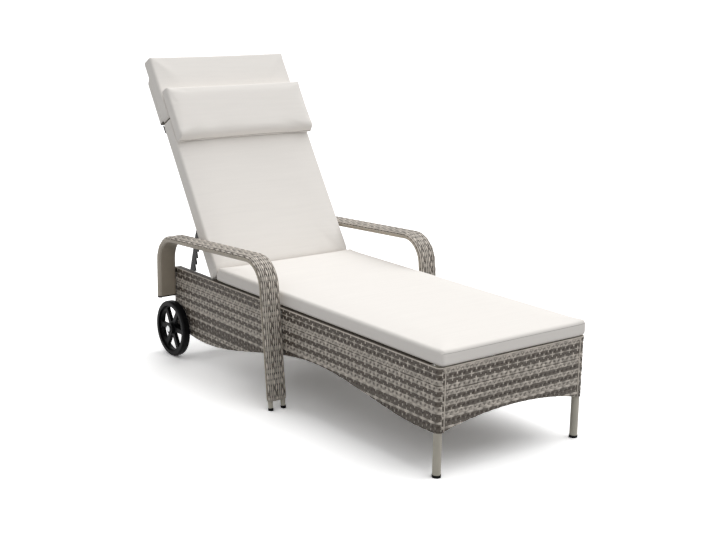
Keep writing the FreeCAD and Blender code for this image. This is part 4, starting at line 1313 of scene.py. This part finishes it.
@dataclass
class Cushion:
    """A box cushion: two panels and a border, sewn together along two seams, filled and swollen.

    Attributes:
        name: The piece's name.
        node: The frame's solid that it stands for.
        body: The body that it rides on.
        bed: The plane that it lies on.
        crown: How much higher the middle of the top panel is than its seam.
        swell: Height kept free for the filling to push the top up.
        corner: Radius of the corners in plan.
        pull: How far the sides draw in between the corners.
        cell: Size of a face before it is smoothed.
        pressure: Pressure of the filling.
        travel: The furthest that the filling may push a point.
        lower: How much further its lower end goes than the solid's.
        upper: How much further its upper end goes than the solid's.
        wider: How much further each side goes than the solid's.
        edge: Radius of the top panel's rounded edges.
        under: Height of the border's rounded lower edge.
        tuck: How far the border is drawn in there.
        roll: Length over which the top panel rolls down at the lower end.
        drop: How deep it rolls down there.
        thinner: How much thinner it is than the solid.
        crease: Distance from its upper end of a sewn crease, or none.
        crease_seam: Distance from the crease's middle that is marked as sewn and painted with the
            seams' shade.
        crease_reach: Distance over which the crease's pull falls off.
        crease_depth: How far the crease draws the top in.
        crease_draw: Share of the width that it draws the sides in by.
        wave: How far the lower end's seam wanders.
        wave_reach: Distance over which that falls off.
        upright_seam: How strongly the painted shade of the seams up its corners shows, from 0 to 1.
        end_seam: How strongly the painted shade of the upper end's top seam shows, from 0 to 1.
        fill: How full it is, from 0 to 1; not used.
    """

    name: str
    node: str
    body: str
    bed: Bed
    crown: float = 3 * MM
    swell: float = 4 * MM
    corner: float = 12 * MM
    pull: float = 2 * MM
    cell: float = 10 * MM
    pressure: float = 4.0
    travel: float = 5 * MM
    lower: float = 0.0
    upper: float = 0.0
    wider: float = 3 * MM
    edge: float = 10 * MM
    under: float = 3 * MM
    tuck: float = 3 * MM
    roll: float = 20 * MM
    drop: float = 20 * MM
    thinner: float = 0.0
    crease: float | None = None
    crease_seam: float = 3 * MM
    crease_reach: float = 6 * MM
    crease_depth: float = 10 * MM
    crease_draw: float = 0.04
    wave: float = 0.0
    wave_reach: float = 30 * MM
    upright_seam: float = 0.79
    end_seam: float = 0.0
    fill: float = 0.75

    def build(self, frame: dict) -> None:
        """Sew, fill and place the cushion.

        Args:
            frame: The loaded frame.
        """
        low, high = self.bed.box(frame, self.node)
        low[0] -= self.lower
        high[0] += self.upper
        self.length = float(high[0] - low[0])
        self.width = float(high[1] - low[1]) + 2 * self.wider
        self.border = float(high[2] - low[2]) - self.thinner - self.crown - self.swell
        surface, pins = self.sewn()
        piece = surface.to_object(self.name, "cloth")
        shape = self.filled(piece, surface.points, pins)
        shape = self.creased(shape)
        world = self.bed.placed(shape + np.array([low[0], 0.0, low[2]]))
        piece.data.vertices.foreach_set("co", world.astype(np.float32).ravel())
        piece.data.update()
        smooth = piece.modifiers.new("smooth", "SUBSURF")
        smooth.levels = 1
        smooth.render_levels = 1
        settle(piece, self.body, CANVAS, [self.node])

    def lines(
        self, length: float, rolls: tuple[float, float], crease: float | None = None
    ) -> np.ndarray:
        """Divide a length evenly, with closer lines over its rolled ends and round the crease.

        Args:
            length: The length to divide.
            rolls: Lengths of the roll at its start and at its end.
            crease: Place of the sewn crease, or none.

        Returns:
            Places along the length.
        """
        even = np.linspace(0, length, round(length / self.cell) + 1)
        share = 1 - np.cos(np.linspace(0, math.pi / 2, EDGE_LINES + 1)[1:])
        close = [rolls[0] * share, length - rolls[1] * share]
        if crease is not None:
            close.append(crease + CREASE_LINES)
        near = np.concatenate(close)
        far = np.abs(even[:, None] - near).min(axis=1) > self.cell / 2
        far &= (even > rolls[0]) & (even < length - rolls[1])
        return np.sort(np.concatenate([[0.0, length], even[far], near]))

    def fall(self, x: np.ndarray, y: np.ndarray) -> np.ndarray:
        """Work out how far the top panel falls towards its seam.

        With t the share of an edge's roll that is still to go, the fall is the roll's depth times
        1 - sqrt(1 - t * t). At the lower end the depth grows from the edge's radius to the drop.

        Args:
            x: Places along the length, from the lower end.
            y: Places across the width, from the middle.

        Returns:
            The fall at each place.
        """
        lower = np.clip(1 - x / self.roll, 0, 1)
        upper = np.clip(1 - (self.length - x) / self.edge, 0, 1)
        sides = np.clip(1 - (self.width / 2 - np.abs(y)) / self.edge, 0, 1)
        share = np.minimum(np.maximum(lower, upper) ** 2 + sides**2, 1)
        depth = self.edge + (self.drop - self.edge) * lower
        return depth * (1 - np.sqrt(1 - share))

    def tucked(self, points: np.ndarray) -> np.ndarray:
        """Draw points in near the bottom, where the border rounds under.

        At height h below the rounded edge's height r, a point is drawn in by the tuck times
        1 - sqrt(h * (2 * r - h)) / r, which follows a quarter ellipse.

        Args:
            points: The cushion's points in its own frame.

        Returns:
            The points with the rounded lower edge.
        """
        height = np.clip(points[:, 2], 0, self.under)
        inset = self.tuck * (1 - np.sqrt(height * (2 * self.under - height)) / self.under)
        middle = np.array([self.length / 2, 0.0])
        half = np.array([self.length / 2, self.width / 2])
        tucked = points.copy()
        tucked[:, :2] = middle + (points[:, :2] - middle) * (1 - inset[:, None] / half)
        return tucked

    def sewn(self) -> tuple[Surface, np.ndarray]:
        """Lay out the two panels and the border as grids that share their seams.

        The top panel rises from its edges to the crown with a steep, flat-topped power curve. At the
        lower end it wanders up and down across the width, as a sine whose phase sways too.

        Returns:
            The cushion's surface in its own frame, and the weight that holds each point.
        """
        crease = None if self.crease is None else self.length - self.crease
        lengthwise = self.lines(self.length, (self.roll, self.edge), crease)
        crosswise = self.lines(self.width, (self.edge, self.edge))
        columns, rows = len(lengthwise) - 1, len(crosswise) - 1
        turn = np.linspace(0, math.pi / 2, UNDER_LINES + 1)[:-1]
        rounding = self.under * (1 - np.cos(turn))
        upright = np.linspace(self.under, self.border, round(self.border / self.cell) + 1)
        height = np.concatenate([rounding, upright])
        levels = len(height) - 1
        u, v = np.meshgrid(lengthwise / self.length, crosswise / self.width, indexing="ij")
        x, y = self.plan(u, v)
        rise = (1 - np.abs(2 * u - 1) ** CROWN_POWER) * (1 - np.abs(2 * v - 1) ** CROWN_POWER)
        fall = self.fall(u * self.length, (v - 0.5) * self.width)
        sway = np.sin(v * 19 + 2 * np.sin(v * 7))
        wander = self.wave * sway * np.exp(-u * self.length / self.wave_reach)
        top = np.stack([x, y, self.border + self.crown * rise - fall + wander], axis=-1).reshape(-1, 3)
        bottom = np.stack([x, y, np.zeros_like(x)], axis=-1).reshape(-1, 3)

        number = np.arange((columns + 1) * (rows + 1)).reshape(columns + 1, rows + 1)
        loop = np.concatenate([number[:-1, 0], number[-1, :-1], number[:0:-1, -1], number[0, :0:-1]])
        share = height[1:-1, None, None] / self.border
        rings = bottom[loop] * (1 - share) + top[loop] * share
        points = self.tucked(np.concatenate([top, bottom, rings.reshape(-1, 3)]))

        panel = grid_faces(number)
        start = len(top)
        ring_numbers = 2 * start + np.arange((levels - 1) * len(loop)).reshape(levels - 1, len(loop))
        ladder = np.concatenate([loop[None] + start, ring_numbers, loop[None]])
        onward = np.roll(ladder, -1, axis=1)
        border = np.stack([ladder[:-1], onward[:-1], onward[1:], ladder[1:]], axis=-1).reshape(-1, 4)
        faces = np.concatenate([panel, panel[:, ::-1] + start, border])

        flat = np.stack([u * self.length, (v - 0.5) * self.width], axis=-1).reshape(-1, 2)
        steps = np.linalg.norm(np.diff(top[loop], axis=0, append=top[loop[:1]]), axis=1)
        run = np.concatenate([[0], np.cumsum(steps)])
        low, here = np.meshgrid(height[:-1], run[:-1], indexing="ij")
        above, ahead = np.meshgrid(height[1:], run[1:], indexing="ij")
        corners = ((low, here), (low, ahead), (above, ahead), (above, here))
        border_uv = np.stack([np.stack(pair, axis=-1) for pair in corners], axis=2)
        uv = np.concatenate([flat[panel], flat[panel[:, ::-1]], border_uv.reshape(-1, 4, 2)])

        pins = np.zeros(len(points))
        pins[loop + start] = 1
        # Seam marks say where a line of painted shade is drawn: the lower seam, the top seam at the
        # lower end, the upper end's top seam and the corners by their strength, and the crease's fold
        seam = pins.copy()
        seam[number[0]] = 1
        seam[number[-1]] = self.end_seam
        uprights = np.cumsum([0, columns, rows, columns])
        seam[ring_numbers[:, uprights].ravel()] = self.upright_seam
        if crease is not None:
            seam[np.abs(points[:, 0] - crease) < self.crease_seam] = 1
        return Surface(points, faces, uv, {"seam": seam}), pins

    def plan(self, u: np.ndarray, v: np.ndarray) -> tuple[np.ndarray, np.ndarray]:
        """Draw the plan with round corners and sides that draw in between them.

        A square at each corner is turned into a quarter disc, where x becomes
        x * sqrt(1 - y * y / 2) and y becomes y * sqrt(1 - x * x / 2).

        Args:
            u: Share of the length.
            v: Share of the width.

        Returns:
            Places along the length and across the width.
        """
        half_length, half_width = self.length / 2, self.width / 2
        middle, y = (2 * u - 1) * half_length, (2 * v - 1) * half_width
        over_x = np.maximum(np.abs(middle) - (half_length - self.corner), 0) / self.corner
        over_y = np.maximum(np.abs(y) - (half_width - self.corner), 0) / self.corner
        draw_x = over_x * (1 - np.sqrt(1 - over_y**2 / 2)) * self.corner
        draw_y = over_y * (1 - np.sqrt(1 - over_x**2 / 2)) * self.corner
        draw_x += self.pull * np.sin(math.pi * v) * np.abs(2 * u - 1) ** 3
        draw_y += self.pull * np.sin(math.pi * u) * np.abs(2 * v - 1) ** 3
        return half_length + middle - np.sign(middle) * draw_x, y - np.sign(y) * draw_y

    def filled(self, piece: bpy.types.Object, rest: np.ndarray, pins: np.ndarray) -> np.ndarray:
        """Swell the cushion with cloth under pressure, held at its lower seam.

        A point that the cloth moves by d is let move by d * travel / (d + travel).

        Args:
            piece: The cushion, still in its own frame.
            rest: Its points before filling.
            pins: How firmly each point is held.

        Returns:
            Its points after filling, flat underneath and moved no further than allowed.
        """
        group = piece.vertex_groups.new(name="seams")
        group.add(np.flatnonzero(pins).tolist(), float(pins.max()), "REPLACE")
        cloth = piece.modifiers.new("filling", "CLOTH")
        cloth.settings.quality = 4
        cloth.settings.mass = 0.3
        cloth.settings.tension_stiffness = 12
        cloth.settings.compression_stiffness = 12
        cloth.settings.shear_stiffness = 4
        cloth.settings.bending_stiffness = 0.4
        cloth.settings.use_pressure = True
        cloth.settings.uniform_pressure_force = self.pressure
        cloth.settings.vertex_group_mass = group.name
        cloth.settings.effector_weights.gravity = 0
        scene = bpy.context.scene
        for step in range(1, FILLING_STEPS + 1):
            scene.frame_set(step)
        seen = piece.evaluated_get(bpy.context.evaluated_depsgraph_get())
        flat = np.empty(3 * len(rest), np.float32)
        seen.data.vertices.foreach_get("co", flat)
        piece.modifiers.remove(cloth)
        piece.vertex_groups.remove(group)
        scene.frame_set(1)
        move = flat.reshape(-1, 3) - rest
        far = np.linalg.norm(move, axis=1)
        move *= (self.travel / (far + self.travel))[:, None]
        shape = rest + move
        shape[:, 2] = np.maximum(shape[:, 2], 0)
        LOG.info("%s filled: moved %.1f mm at most", self.name, 1000 * far.max())
        return shape

    def creased(self, shape: np.ndarray) -> np.ndarray:
        """Draw the top and the sides in along the sewn crease, falling off on both sides of it.

        Args:
            shape: The cushion's points.

        Returns:
            The points with the crease.
        """
        if self.crease is None:
            return shape
        near = np.exp(-np.abs(shape[:, 0] - self.length + self.crease) / self.crease_reach)
        shape = shape.copy()
        shape[:, 2] -= self.crease_depth * near * np.clip(shape[:, 2] / self.border, 0, 1)
        shape[:, 1] *= 1 - self.crease_draw * near
        return shape


def cushions(seat: Bed, back: Bed) -> list[Cushion]:
    """Return the seat cushion, the back cushion and the head pillow, before they are sewn.

    Args:
        seat: The bed of the seat cushion.
        back: The bed of the others.
    """
    return [
        Cushion(
            "seat_pad",
            "seat_cushion",
            "base",
            seat,
            lower=22 * MM,
            upper=3 * MM,
            under=9 * MM,
            tuck=14 * MM,
            roll=24 * MM,
            drop=24 * MM,
            end_seam=0.9,
        ),
        Cushion(
            "back_pad",
            "back_cushion",
            "backrest",
            back,
            crown=2 * MM,
            corner=7 * MM,
            travel=4 * MM,
            lower=8 * MM,
            upper=11 * MM,
            edge=8 * MM,
            roll=40 * MM,
            drop=38 * MM,
            crease=245 * MM,
        ),
        Cushion(
            "pillow_pad",
            "head_pillow",
            "backrest",
            back,
            crown=2 * MM,
            corner=7 * MM,
            cell=7 * MM,
            travel=4 * MM,
            lower=-10 * MM,
            upper=17 * MM,
            wider=1 * MM,
            edge=7 * MM,
            thinner=10 * MM,
            roll=28 * MM,
            drop=30 * MM,
            wave=2.5 * MM,
            fill=0.65,
        ),
    ]


@dataclass
class FramePocket:
    """The cloth pocket behind the back cushion that slips over the top of the backrest's frame.

    Attributes:
        frame: The loaded frame.
        bed: The backrest's middle plane.
        cloth: Thickness of the cloth.
        corner: Radius of the pocket's rear corners.
        close: Length over which it closes above the top tube.
        sag: How far its rear panel hangs away between the tubes.
        ripple: Phase of the sag's ripples, for each metre up and for half the width across.
        corner_points: Points round a rear corner.
        rear_points: Points across the rear, from corner to corner.
        lower_points: Points up to the top tube's middle.
        upper_points: Points from there to the top.
    """

    frame: dict
    bed: Bed
    cloth: float = 1.6 * MM
    corner: float = 8 * MM
    close: float = 22 * MM
    sag: float = 1.5 * MM
    ripple: tuple[float, float] = (40.0, 5.0)
    corner_points: int = 7
    rear_points: int = 48
    lower_points: int = 24
    upper_points: int = 18

    def build(self) -> None:
        """Make the pocket."""
        sheet = self.sheet()
        pocket = sheet.to_object("frame_pocket", "cloth")
        settle(pocket, "backrest", CANVAS, ["cushion_pocket"])
        wall = pocket.modifiers.new("wall", "SOLIDIFY")
        wall.thickness = self.cloth
        wall.offset = 0
        length = float(np.ptp(self.bed.measured(sheet.points)[:, 0]))

    def sheet(self) -> Surface:
        """Carry a shallow channel up the backrest and close it at the top.

        The section goes down one wall, round a corner of radius r, across the rear and up the other
        wall: a point lies at rear * (half - r) + side * r * cos(turn) across the backrest, and at
        front - wall * (depth - r) - r * sin(turn) off it. Above the top tube's middle the depth falls
        to the cloth's own thickness along half a cosine.

        Returns:
            The pocket as one sheet.
        """
        low, high = self.bed.box(self.frame, "cushion_pocket")
        half = high[1] - self.cloth / 2
        front = high[2] - self.cloth / 4
        full = front - low[2] - self.cloth / 2
        quarter = np.linspace(0, math.pi / 2, self.corner_points)
        wall = np.concatenate([[0.0, 0.5], np.ones(len(quarter))])
        turn = np.concatenate([[0.0, 0.0], quarter])
        across = np.linspace(1, -1, self.rear_points)[1:-1]
        rear = np.concatenate([np.ones(len(wall)), across, -np.ones(len(wall))])
        wall = np.concatenate([wall, np.ones(len(across)), wall[::-1]])
        turn = np.concatenate([turn, np.full(len(across), math.pi / 2), turn[::-1]])

        tube_low, tube_high = self.bed.box(self.frame, "backrest_top_tube")
        shoulder = (tube_low[0] + tube_high[0]) / 2
        lower = np.linspace(low[0], shoulder, self.lower_points)
        upper = np.linspace(shoulder, high[0], self.upper_points)
        along = np.concatenate([lower, upper[1:]])
        closing = np.clip((along - shoulder) / self.close, 0, 1)
        open_share = (1 + np.cos(math.pi * closing))[:, None] / 2
        depth = self.cloth + (full - self.cloth) * open_share
        radius = np.minimum(self.corner, depth / 2)
        y = rear * (half - radius) + np.sign(rear) * radius * np.cos(turn)
        off = front - wall * (depth - radius) - radius * np.sin(turn)
        ripples = np.sin(along[:, None] * self.ripple[0] + rear * self.ripple[1])
        hang = np.sin(turn) * (1 - rear**2) * (1 + ripples) / 2
        off -= self.sag * hang * open_share

        rows, columns = off.shape
        places = np.stack([np.broadcast_to(along[:, None], off.shape), y, off], axis=-1)
        number = np.arange(rows * columns).reshape(rows, columns)
        faces = grid_faces(number)
        girth = np.cumsum(np.hypot(np.diff(y[0], prepend=y[0, 0]), np.diff(off[0], prepend=off[0, 0])))
        uv = np.stack(np.broadcast_arrays(along[:, None], girth), axis=-1).reshape(-1, 2)
        seam = np.zeros((rows, columns))
        # Its lower edge gets the sewn line of painted shade
        seam[0] = 1
        return Surface(
            self.bed.placed(places.reshape(-1, 3)), faces, uv[faces], {"seam": seam.ravel()}
        )


@dataclass
class BackStrap:
    """The elastic strap that holds the back cushion, led behind the frame from edge to edge.

    Attributes:
        frame: The loaded frame.
        bed: The backrest's middle plane.
        webbing: Thickness of the strap.
        bulge: How far it stands out between the cushion's edge and the tube.
        end_points: Points between the cushion's edge and the tube.
        rear_points: Points behind the frame, from tube to tube.
    """

    frame: dict
    bed: Bed
    webbing: float = 1.5 * MM
    bulge: float = 7 * MM
    end_points: int = 12
    rear_points: int = 40

    def build(self) -> None:
        """Lead the strap from the cushion's rear edge round the side tubes to the other edge."""
        low, high = self.bed.box(self.frame, "cushion_strap")
        tube_end = self.bed.box(self.frame, "backrest_top_tube")[1]
        turn = tube_end[1] + self.webbing / 2
        sewn = high[1] + self.webbing
        rear, front = low[2] + self.webbing / 2, high[2] - self.webbing / 2
        across = np.concatenate([
            np.linspace(-sewn, -turn, self.end_points),
            np.linspace(-turn, turn, self.rear_points)[1:-1],
            np.linspace(turn, sewn, self.end_points),
        ])
        slope = np.clip((np.abs(across) - turn) / (sewn - turn), 0, 1)
        off = rear + (front - rear) * slope
        across += np.sign(across) * self.bulge * np.sin(math.pi * slope)
        along = np.full_like(across, (low[0] + high[0]) / 2)
        middle = self.bed.placed(np.stack([along, across, off], axis=1))[None]
        heading = unit(np.gradient(middle, axis=1))
        width = float(high[0] - low[0])
        strap = strands(
            middle,
            np.cross(heading, self.bed.along),
            self.bed.along,
            np.array([width]),
            self.webbing,
            np.zeros(1),
            FLAT_WEBBING,
        )
        strap.marks = {"seam": np.zeros(len(strap.points))}
        piece = settle(strap.to_object("back_strap", "cloth"), "backrest", ELASTIC, ["cushion_strap"])


def finish_frame(frame: dict) -> None:
    """Give every frame piece that stays in view its finish.

    Args:
        frame: The loaded frame.
    """
    finishes = {start: finish for finish, starts in FRAME_FINISHES.items() for start in starts}
    for name, node in frame["nodes"].items():
        matching = [start for start in finishes if name.startswith(start)]
        if matching:
            finishes[max(matching, key=len)].dress(node)


# Camera and light
def stand(name: str, data: bpy.types.ID, columns: Sequence[np.ndarray]) -> bpy.types.Object:
    """Put a camera or a lamp into the scene.

    Args:
        name: Its name.
        data: The camera's or the lamp's own data.
        columns: Directions of its X, Y and Z axes, and its place.

    Returns:
        The new object.
    """
    turn = np.eye(4)
    turn[:3] = np.stack(columns, axis=1)
    thing = bpy.data.objects.new(name, data)
    thing.matrix_world = Matrix(turn.tolist())
    bpy.context.scene.collection.objects.link(thing)
    return thing


@dataclass(frozen=True)
class PhotoCamera:
    """The camera that sees the lounger from the photograph's place.

    Attributes:
        yaw: Turn about the upright axis, from looking along +Y.
        pitch: How far it looks down.
        roll: How far it leans.
        place: Where it stands.
        focal: Focal length in pixels of the photograph.
        sensor: Sensor width in millimetres.
        furthest: How far it sees.
    """

    yaw: float = math.radians(52.494)
    pitch: float = math.radians(13.421)
    roll: float = math.radians(0.971)
    place: tuple[float, float, float] = (3.367843, -2.521339, 1.403239)
    focal: float = 1286.057
    sensor: float = 36.0
    furthest: float = 200.0

    def build(self) -> None:
        """Set the camera up and make it the scene's own."""
        level = math.cos(self.pitch)
        back = np.array([math.sin(self.yaw) * level, -math.cos(self.yaw) * level, math.sin(self.pitch)])
        right = unit(np.cross(-back, UP))
        up = np.cross(back, right)
        leaning_right = right * math.cos(self.roll) + up * math.sin(self.roll)
        leaning_up = up * math.cos(self.roll) - right * math.sin(self.roll)
        data = bpy.data.cameras.new("photo_camera")
        data.sensor_fit = "HORIZONTAL"
        data.sensor_width = self.sensor
        data.lens = self.focal / PHOTO_WIDTH * self.sensor
        data.clip_end = self.furthest
        columns = [leaning_right, leaning_up, back, np.array(self.place)]
        bpy.context.scene.camera = stand("photo_camera", data, columns)


@dataclass
class Studio:
    """A white floor under an even sky with one broad, soft key light.

    Attributes:
        sky: Brightness of the even light from all round.
        key: Strength of the key light.
        key_from: Direction that the key light comes from.
        key_spread: Angle that the key light fills, which softens its shadow.
        key_distance: How far off its lamp hangs.
        floor: Colour of the floor as it lights the object.
        floor_gain: How bright the camera sees the floor.
        reach: Half the floor's width.
    """

    sky: float = 0.56
    key: float = 1.78
    key_from: tuple[float, float, float] = (-0.02, 0.46, 0.89)
    key_spread: float = math.radians(80)
    key_distance: float = 4.0
    floor: str = "#a4a4a4"
    floor_gain: float = 1.55
    reach: float = 60.0

    def build(self) -> None:
        """Light the scene and lay the floor."""
        bpy.context.scene.view_settings.view_transform = "Standard"
        self.light_sky()
        self.light_key()
        self.lay_floor()

    def light_sky(self) -> None:
        """Make the world white to the camera and an even soft light to the object."""
        world = bpy.data.worlds.new("studio")
        tree = cleared(world)
        seen = self.seen(tree)
        white = add_node(tree, "ShaderNodeBackground", {"Color": (1, 1, 1, 1), "Strength": 1.0})
        soft = add_node(tree, "ShaderNodeBackground", {"Color": (1, 1, 1, 1), "Strength": self.sky})
        inputs = {0: seen, 1: soft.outputs[0], 2: white.outputs[0]}
        light = add_node(tree, "ShaderNodeMixShader", inputs)
        add_node(tree, "ShaderNodeOutputWorld", {"Surface": light.outputs[0]})
        bpy.context.scene.world = world

    @staticmethod
    def seen(tree: bpy.types.NodeTree) -> bpy.types.NodeSocket:
        """Return a socket that is 1 for rays from the camera, off gloss and through glass."""
        rays = add_node(tree, "ShaderNodeLightPath").outputs
        shown = rays["Is Camera Ray"]
        for kind in ("Is Glossy Ray", "Is Transmission Ray"):
            shown = maths(tree, "MAXIMUM", shown, rays[kind])
        return shown

    def light_key(self) -> None:
        """Hang the key light."""
        data = bpy.data.lights.new("key_light", "SUN")
        data.energy = self.key
        data.angle = self.key_spread
        away = unit(np.array(self.key_from))
        side = unit(np.cross(UP, away))
        stand("key_light", data, [side, np.cross(away, side), away, self.key_distance * away])

    def lay_floor(self) -> None:
        """Lay a floor that keeps the shadow, and is white to the camera where it is lit."""
        corners = self.reach * np.array([(-1, -1, 0), (1, -1, 0), (1, 1, 0), (-1, 1, 0)], float)
        square = Surface(corners, np.array([[0, 1, 2, 3]]), corners[None, :, :2])
        floor = square.to_object("floor", "ground")
        made = bpy.data.materials.new("studio_floor")
        tree = cleared(made)
        seen = self.seen(tree)
        gain = (self.floor_gain, self.floor_gain, self.floor_gain, 1.0)
        lighting = add_node(tree, "ShaderNodeBsdfDiffuse", {"Color": linear(self.floor)})
        showing = add_node(tree, "ShaderNodeBsdfDiffuse", {"Color": gain})
        inputs = {0: seen, 1: lighting.outputs[0], 2: showing.outputs[0]}
        surface = add_node(tree, "ShaderNodeMixShader", inputs)
        add_node(tree, "ShaderNodeOutputMaterial", {"Surface": surface.outputs[0]})
        floor.data.materials.append(made)


def main() -> None:
    """Build the looks of the whole lounger, piece by piece."""
    logging.basicConfig(level=logging.INFO, format="%(name)s: %(message)s")
    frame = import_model()
    PhotoCamera().build()
    Studio().build()
    finish_frame(frame)
    back = back_bed(frame)
    Skirts(frame).build()
    ArmCovers().build()
    BackPanel(frame, back).build()
    for cushion in cushions(seat_bed(), back):
        cushion.build(frame)
    FramePocket(frame, back).build()
    BackStrap(frame, back).build()


if __name__ == "__main__":
    main()
